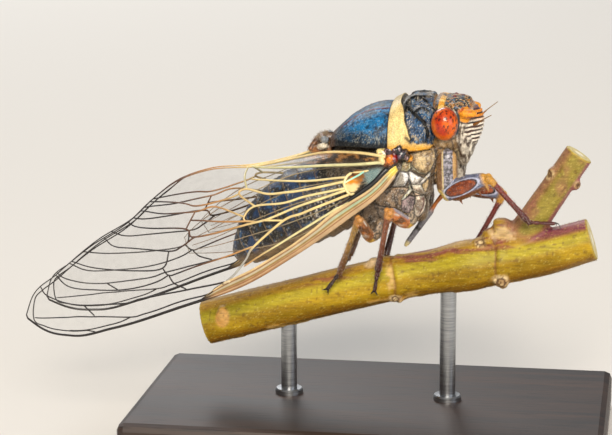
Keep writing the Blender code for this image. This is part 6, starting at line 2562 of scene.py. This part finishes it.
@dataclass
class Stem:
    """Cut length of green stem with a side shoot, joints, buds and scars."""

    line: Rows = (
        (-13.9, 8.62, 1.86),
        (-10.0, 9.75, 1.86),
        (-6.0, 10.88, 1.84),
        (-1.5, 12.15, 1.86),
        (1.3, 12.88, 1.84),
        (5.2, 13.72, 1.88),
        (7.6, 14.22, 2.12),
        (9.6, 14.62, 1.92),
        (13.3, 15.42, 1.86),
        (17.4, 16.72, 1.72),
    )
    shoot: Rows = ((10.9, 15.3, 1.55), (12.7, 18.1, 1.32), (14.6, 21.1, 1.22), (16.2, 23.6, 1.2))
    knobs: tuple[Ball, ...] = (
        ((-12.2, -1.5, 9.6), (0.62, 0.5, 0.95)),
        ((10.35, -1.15, 13.35), (0.66, 0.7, 0.62)),
        ((1.9, -0.85, 11.6), (0.7, 0.5, 0.45)),
        ((-0.05, -0.25, 14.1), (0.55, 0.75, 0.62)),
        ((1.2, -0.2, 14.1), (1.6, 1.1, 0.75)),
        ((8.6, -0.5, 16.3), (0.75, 0.7, 0.45)),
        ((9.55, -0.35, 16.9), (0.95, 0.9, 0.62)),
        ((10.3, -0.45, 17.55), (0.95, 0.9, 0.8)),
        ((9.2, -0.7, 16.5), (0.55, 0.8, 0.5)),
        ((14.2, -0.35, 22.0), (0.5, 0.55, 0.6)),
        ((15.9, -0.3, 21.2), (0.5, 0.5, 0.6)),
    )
    # Joints of the stem, where a ring runs round it.
    joints: tuple[float, ...] = (1.75, 9.9)
    # Round scars of shed leaves and buds: middle and radius.
    scars: tuple[tuple[Place, float], ...] = (
        ((10.3, -1.78, 13.32), 0.55),
        ((13.75, -0.75, 22.0), 0.42),
        ((16.3, -0.8, 21.1), 0.36),
        ((1.85, -1.3, 11.5), 0.4),
        ((8.6, -1.1, 16.4), 0.4),
    )
    # Rise of the stem at each cut end, along the stem.
    end_slopes: tuple[float, float] = (0.29, 0.315)

    def middle(self, x: Array) -> tuple[Array, Array]:
        """Height of the stem's middle and its radius at each x."""
        values = SmoothTable(self.line)(x)
        return values[..., 0], values[..., 1]

    def end(self, row: int) -> Array:
        """Middle of one end of the main stem."""
        x, z, _ = self.line[row]
        return np.array((x, 0, z))

    def grid(self) -> Array:
        """Sections along the main stem."""
        x = np.linspace(self.line[0][0], self.line[-1][0], 150)
        z, radius = self.middle(x)
        return tube(np.stack([x, 0 * x, z], axis=-1), radius, 60)

    def build(self) -> None:
        """Fuse, roughen and colour the stem."""
        parts = [Skin.of_grid("main", self.grid())]
        line = np.array([(x, 0, z) for x, z, _ in self.shoot])
        path = rounded_line(line, 0.2)
        radii = SmoothTable(tuple((x, r) for x, _, r in self.shoot))(path[:, 0])[:, 0]
        parts.append(Skin.of_grid("shoot", tube(path, radii, 48, 1.0, (1, 0, 0))))
        parts += [Skin.of_ball(place, radii, 28) for place, radii in self.knobs]
        skin = Skin.fused("stem_bark_skin", parts, 0.11, 3)
        points = skin.points
        x, y, z = points.T
        shoot_way = unit(path[-1] - path[-2])
        middle, radius = self.middle(x)
        on_shoot = ease(np.hypot(z - middle, y) / radius - line_distance(points, path) / 1.3, 0.0, 0.35)
        # Depth under the nearest cut end; the shoot stays out of reach of the stem's right cut.
        left_way, right_way = (unit(np.array((1.0, 0.0, slope))) for slope in self.end_slopes)
        left_depth = (points - self.end(0)) @ left_way
        right_depth = -(points - self.end(-1)) @ right_way + 9 * on_shoot
        top_depth = -(points - path[-1]) @ shoot_way
        bark = ease(np.minimum(np.minimum(left_depth, right_depth), top_depth), 0.10, 0.22)
        height = (z - middle) / radius
        # Bark: faint ribs along the stem, rings at the joints, flakes below.
        turn = np.arctan2(height, y / radius)
        ribs = mottle(np.stack([x * 0.12, np.cos(turn) * 3, np.sin(turn) * 3], axis=-1), 0.8, 3, 2) - 0.5
        fine = mottle(points * (0.35, 1, 1), 0.45, 8, 3) - 0.5
        push = 0.12 * ribs * (1 - on_shoot) + 0.05 * fine
        bends = [x - joint + 0.25 * height + 0.1 * np.sin(turn * 3 + joint) for joint in self.joints]
        for bend in bends:
            push -= 0.09 * np.exp(-((bend / 0.09) ** 2)) * (1 - on_shoot)
            push += 0.10 * np.exp(-(((bend - 0.32) / 0.28) ** 2)) * (1 - on_shoot)
        flakes = ease(mottle(points * (0.5, 1, 1.5), 0.8, 23, 3), 0.58, 0.7) * ease(height, -0.45, -0.85)
        push += 0.07 * flakes
        scar_tint, scar_dark = np.zeros(len(points)), np.zeros(len(points))
        for place, size in self.scars:
            away = np.linalg.norm((points - place) * (0.8, 1, 1), axis=1)
            push += -0.10 * np.exp(-((away / (size * 0.42)) ** 2)) + 0.05 * np.exp(-(((away - size) / 0.12) ** 2))
            scar_tint = np.maximum(scar_tint, ease(away, size * 1.4, size * 0.8))
            scar_dark = np.maximum(scar_dark, ease(np.abs(away - size * 0.55), 0.09, 0.03))
            scar_dark = np.maximum(scar_dark, ease(away, size * 0.22, size * 0.1))
        skin.push(push * bark * 0.8 - 0.05)
        cloud = mottle(points * (0.4, 1, 1), 1.6, 12, 3)
        green = mixed("8C6E0C", "B0901A", ease(cloud, 0.3, 0.7))
        streak_place = mottle(points * (0.10, 1.4, 1.4), 0.6, 41, 3)
        streak = ease(streak_place, 0.5, 0.66) * ease(height, 0.45, 0.8) * ease(x, -9.0, -2.0)
        red = ease(x, 11.5, 13.0) * ease(height, 0.55, 0.85) * (1 - on_shoot)
        off_axis = (points - path[0]) @ np.array((shoot_way[2], 0.0, -shoot_way[0]))
        woody = layered(
            "80702A",
            ("9E8E3C", cloud),
            ("96624E", ease(mottle(points, 1.3, 51, 2), 0.52, 0.7) * 0.6),
            ("9C6258", ease(off_axis, -0.35, -0.95) * 0.65),
            ("8E3C5C", ease(off_axis, 0.75, 1.1) * 0.75),
        )
        colours = layered(
            green,
            # Painted highlight: a paler yellow-green band along the upper side.
            ("A89E22", ease(height, 0.0, 0.35) * ease(height, 0.85, 0.55) * 0.65),
            ("A67E2C", ease(height, 0.62, 0.85) * 0.8),
            ("85580F", ease(height, -0.3, -0.8) * 0.85),
            ("C9A25C", flakes * 0.7),
            ("7C3344", streak * 0.75 * (1 - on_shoot)),
            ("7A3452", red * 0.8 * ease(cloud, 0.15, 0.4)),
            (woody, on_shoot),
        )
        for bend in bends:
            colours = mixed(colours, "7A4A2C", np.exp(-((bend / 0.10) ** 2)) * 0.7 * (1 - on_shoot))
        rim = ease(np.abs(x + 0.32 * height - 1.55), 0.42, 0.12) * ease(height, 0.9, 0.6) * ease(height, -0.6, -0.2)
        knob = ease(np.linalg.norm((points - (-0.25, -0.6, 14.4)) * (1, 0.8, 1), axis=1), 0.75, 0.35)
        foot = np.linalg.norm((points - (10.3, -1.1, 17.2)) * (0.8, 0.7, 1.3), axis=1)
        knob = np.maximum(knob, 0.7 * ease(foot + 1.2 * (mottle(points, 0.4, 76, 3) - 0.5), 0.95, 0.55))
        left_scar = ease(np.linalg.norm((points - (-12.2, -1.9, 9.6)) * (1.5, 0.6, 1), axis=1), 1.05, 0.7)
        lumps = mottle(points, 0.5, 75, 2)
        specks = ease(mottle(points, 0.2, 61, 1), 0.72, 0.86)
        pale = ease(spots(points * (0.8, 1, 1), 0.19, 71), 0.3, 0.14)
        cracks = ease(np.abs(mottle(points, 0.28, 73, 2) - 0.5), 0.07, 0.02)
        cork = layered(
            "A98A5E",
            ("DCC494", ease(mottle(points, 0.3, 74, 2), 0.4, 0.6)),
            ("4A2C16", cracks * 0.8),
        )
        colours = layered(
            colours,
            ("CBA667", rim * ease(y, 0.3, -0.4) * ease(lumps, 0.3, 0.55) * 0.85),
            ("D9BE94", knob * 0.85),
            (mixed("C98A34", "D8B070", lumps), left_scar * 0.95),
            ("5E3E1C", specks * 0.5),
            ("D2C468", pale * 0.4),
            (cork, scar_tint * 0.9),
            ("4A2C16", scar_dark * scar_tint * 0.8),
        )
        # Cut ends: pale wood round a soft pith, with a green rim.
        ends = ((self.end(0), self.line[0][-1]), (self.end(-1), self.line[-1][-1]), (path[-1], self.shoot[-1][-1]))
        ring = np.min([np.linalg.norm(points - centre, axis=1) / size for centre, size in ends], axis=0)
        wood = layered(
            "D9CB93",
            ("C2B070", ease(np.sin(ring * 26), -0.2, 0.8) * 0.5),
            ("EFE8CE", ease(ring, 0.38, 0.3)),
            ("A8903A", ease(ring, 0.86, 0.94)),
        )
        colours = mixed(wood, colours, bark)
        skin.paint(colours)
        Coat("coat_stem", 12000, 0.12, (0.5, 0.0, 0.3), 0.018, 1.1, "E8DE8A", 0.5, 18).grow(skin, "stem_bark", bark)
        skin.piece(LivingBark("bark_green_stem_waxy"), "stem_bark", "perch")


# -------------------------------------------------------------- stand


@dataclass(frozen=True)
class StainedWood(Finish):
    """Dark stained hardwood under a thin satin lacquer, with fine open pores along the grain."""

    def fill(self, tree: bpy.types.NodeTree, shader: bpy.types.Node) -> None:
        """Grain along X, and short dark pores."""
        place = self.place(tree)
        stretched = add_node(
            tree, "ShaderNodeMapping", {"Vector": place, "Scale": (0.07, 1.0, 1.0)}
        ).outputs["Vector"]
        grain = add_node(
            tree, "ShaderNodeTexNoise", {"Vector": stretched, "Scale": 1000 / 1.4, "Detail": 5.0, "Distortion": 0.6}
        ).outputs["Fac"]
        pores = add_node(
            tree, "ShaderNodeTexNoise", {"Vector": stretched, "Scale": 1000 / 0.25, "Detail": 2.0}
        ).outputs["Fac"]
        tone = add_node(tree, "ShaderNodeValToRGB", {"Fac": grain})
        for stop, (where, code) in zip(tone.color_ramp.elements, ((0.32, "1C1411"), (0.68, "3F2C22"))):
            stop.position, stop.color = where, (*linear(code), 1.0)
        depth = add_node(
            tree,
            "ShaderNodeMapRange",
            {"Value": pores, "From Min": 0.36, "From Max": 0.46, "To Min": 0.45, "To Max": 1.0},
        ).outputs["Result"]
        colour = add_node(
            tree, "ShaderNodeVectorMath", {0: tone.outputs["Color"], "Scale": depth}, operation="SCALE"
        ).outputs["Vector"]
        gloss = add_node(
            tree, "ShaderNodeMapRange", {"Value": grain, "To Min": 0.45, "To Max": 0.6}
        ).outputs["Result"]
        bump = add_node(
            tree, "ShaderNodeBump", {"Height": depth, "Distance": 0.02 * MM, "Strength": 0.5}
        ).outputs["Normal"]
        self.settle(shader, Base_Color=colour, Roughness=gloss, Normal=bump)
        self.settle(shader, IOR=1.5, Coat_Weight=0.12, Coat_Roughness=0.4)


@dataclass(frozen=True)
class BrushedSteel(Finish):
    """Stainless rod, drawn and brushed, so that its gloss runs in fine rings."""

    def fill(self, tree: bpy.types.NodeTree, shader: bpy.types.Node) -> None:
        """Fine rings round the rod in gloss and bump."""
        place = self.place(tree)
        rings = add_node(tree, "ShaderNodeMapping", {"Vector": place, "Scale": (0.05, 0.05, 1.0)}).outputs["Vector"]
        brush = add_node(
            tree, "ShaderNodeTexNoise", {"Vector": rings, "Scale": 1000 / 0.08, "Detail": 3.0}
        ).outputs["Fac"]
        tone = add_node(tree, "ShaderNodeValToRGB", {"Fac": brush})
        for stop, (where, code) in zip(tone.color_ramp.elements, ((0.3, "8E9194"), (0.7, "B4B6B8"))):
            stop.position, stop.color = where, (*linear(code), 1.0)
        gloss = add_node(
            tree, "ShaderNodeMapRange", {"Value": brush, "To Min": 0.22, "To Max": 0.42}
        ).outputs["Result"]
        bump = add_node(
            tree, "ShaderNodeBump", {"Height": brush, "Distance": 0.004 * MM, "Strength": 0.4}
        ).outputs["Normal"]
        self.settle(shader, Base_Color=tone.outputs["Color"], Roughness=gloss, Normal=bump, Metallic=1.0)


@dataclass
class Stand:
    """Plain wooden base with two steel rods, each in a small collar, up to the stem."""

    rods: tuple[tuple[str, float], ...] = (("stand_rod_rear", -7.0), ("stand_rod_front", 6.0))
    base_top: float = 3.0
    radius: float = 0.65

    def rod(self, x: float, stem_low: float) -> Array:
        """Grid of a rod from inside the base to the bark, with a collar at its foot."""
        outline = (
            (self.base_top - 0.6, self.radius),
            (self.base_top - 0.05, self.radius),
            (self.base_top - 0.04, self.radius * 1.75),
            (self.base_top + 0.32, self.radius * 1.75),
            (self.base_top + 0.44, self.radius * 1.6),
            (self.base_top + 0.45, self.radius),
            (self.base_top + 0.7, self.radius),
            (stem_low - 0.3, self.radius),
            (stem_low + 0.22, self.radius),
        )
        turn = np.linspace(0, 2 * math.pi, 48, endpoint=False)
        return np.array([[(x + r * math.cos(t), r * math.sin(t), z) for t in turn] for z, r in outline])

    def build(self) -> None:
        """Dress the base and replace the rods by finer ones."""
        base = bpy.data.objects["stand_base"]
        base.data.materials.clear()
        base.data.materials.append(StainedWood("wood_base_stained_satin").material())
        stem = Stem()
        steel = BrushedSteel("steel_rod_brushed")
        for name, x in self.rods:
            z, radius = (float(v) for v in stem.middle(np.array(x)))
            slope = float(stem.middle(np.array(x + 0.1))[0] - stem.middle(np.array(x - 0.1))[0]) / 0.2
            low = z - radius * math.sqrt(1 + slope * slope)
            skin = Skin.of_grid(f"{name}_turned", self.rod(x, low))
            made = skin.piece(steel, "rod_steel", name)
            edge = made.modifiers.new("Crisp edges", "EDGE_SPLIT")
            edge.split_angle = math.radians(35)


# ------------------------------------------------------------- studio


@dataclass(frozen=True)
class Studio:
    """Plain pale floor, soft light and a camera at the photograph's angle."""

    azimuth: float = math.radians(9.0)
    elevation: float = math.radians(12.0)
    lens: float = 135.0
    target: Place = (-5.6, 0.0, 17.7)
    away: float = 185.08
    floor_reach: float = 3000.0
    # Lamps: name, place and side in millimetres, power in watts and colour.
    lamps: tuple[tuple[str, Place, float, float, str], ...] = (
        ("key_light", (95, -560, 370), 260, 5.2, "FFF4E6"),
        ("fill_light", (514, -272, 150), 340, 0.95, "F2F6FF"),
        ("rim_light", (-223, 494, 420), 340, 2.0, "FFFFFF"),
    )

    def back(self) -> Array:
        """Direction from the object to the camera."""
        c = math.cos(self.elevation)
        return np.array(
            (math.sin(self.azimuth) * c, -math.cos(self.azimuth) * c, math.sin(self.elevation))
        )

    def camera(self) -> None:
        """Place the camera."""
        data = bpy.data.cameras.new("camera")
        data.lens = self.lens
        data.clip_start, data.clip_end = 0.005, 20.0
        made = bpy.data.objects.new("camera", data)
        back = Vector(self.back())
        made.location = (Vector(self.target) + back * self.away) * MM
        made.rotation_euler = (-back).to_track_quat("-Z", "Y").to_euler()
        bpy.context.scene.collection.objects.link(made)
        bpy.context.scene.camera = made

    def lamp(self, name: str, place: Sequence[float], size: float, power: float, code: str) -> None:
        """Add a square soft light that faces the object.

        Args:
            name: Its name.
            place: Where it stands, in millimetres.
            size: Length of its side, in millimetres.
            power: Its power in watts.
            code: Its colour.
        """
        data = bpy.data.lights.new(name, "AREA")
        data.size = size * MM
        data.energy = power
        data.color = tuple(linear(code))
        made = bpy.data.objects.new(name, data)
        made.location = Vector(place) * MM
        made.visible_camera = False
        aim = Vector(self.target) - Vector(place)
        made.rotation_euler = aim.to_track_quat("-Z", "Y").to_euler()
        bpy.context.scene.collection.objects.link(made)

    def build(self) -> None:
        """Make the floor, the lights and the camera."""
        corners = np.array(((-1, -1, 0), (1, -1, 0), (1, 1, 0), (-1, 1, 0))) * self.floor_reach
        floor = Skin("floor", corners, [(0, 1, 2, 3)])
        floor.points = floor.points * MM
        floor.mesh.materials.append(PlainFloor("studio_paper_matt").material())
        made = bpy.data.objects.new("floor", floor.mesh)
        bpy.context.scene.collection.objects.link(made)
        for lamp in self.lamps:
            self.lamp(*lamp)
        world = bpy.data.worlds.new("soft_room")
        world.use_nodes = True
        background = world.node_tree.nodes["Background"]
        background.inputs["Color"].default_value = (*linear("E9EAEC"), 1.0)
        background.inputs["Strength"].default_value = 0.30
        bpy.context.scene.world = world
        bpy.context.scene.view_settings.view_transform = "Standard"
        self.camera()


def main() -> None:
    """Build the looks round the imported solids."""
    logging.basicConfig(level=logging.INFO, format="%(message)s")
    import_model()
    Studio().build()
    Back().build()
    Head().build()
    Trunk().build()
    Wings().build()
    Legs().build()
    Stem().build()
    Stand().build()


if __name__ == "__main__":
    main()
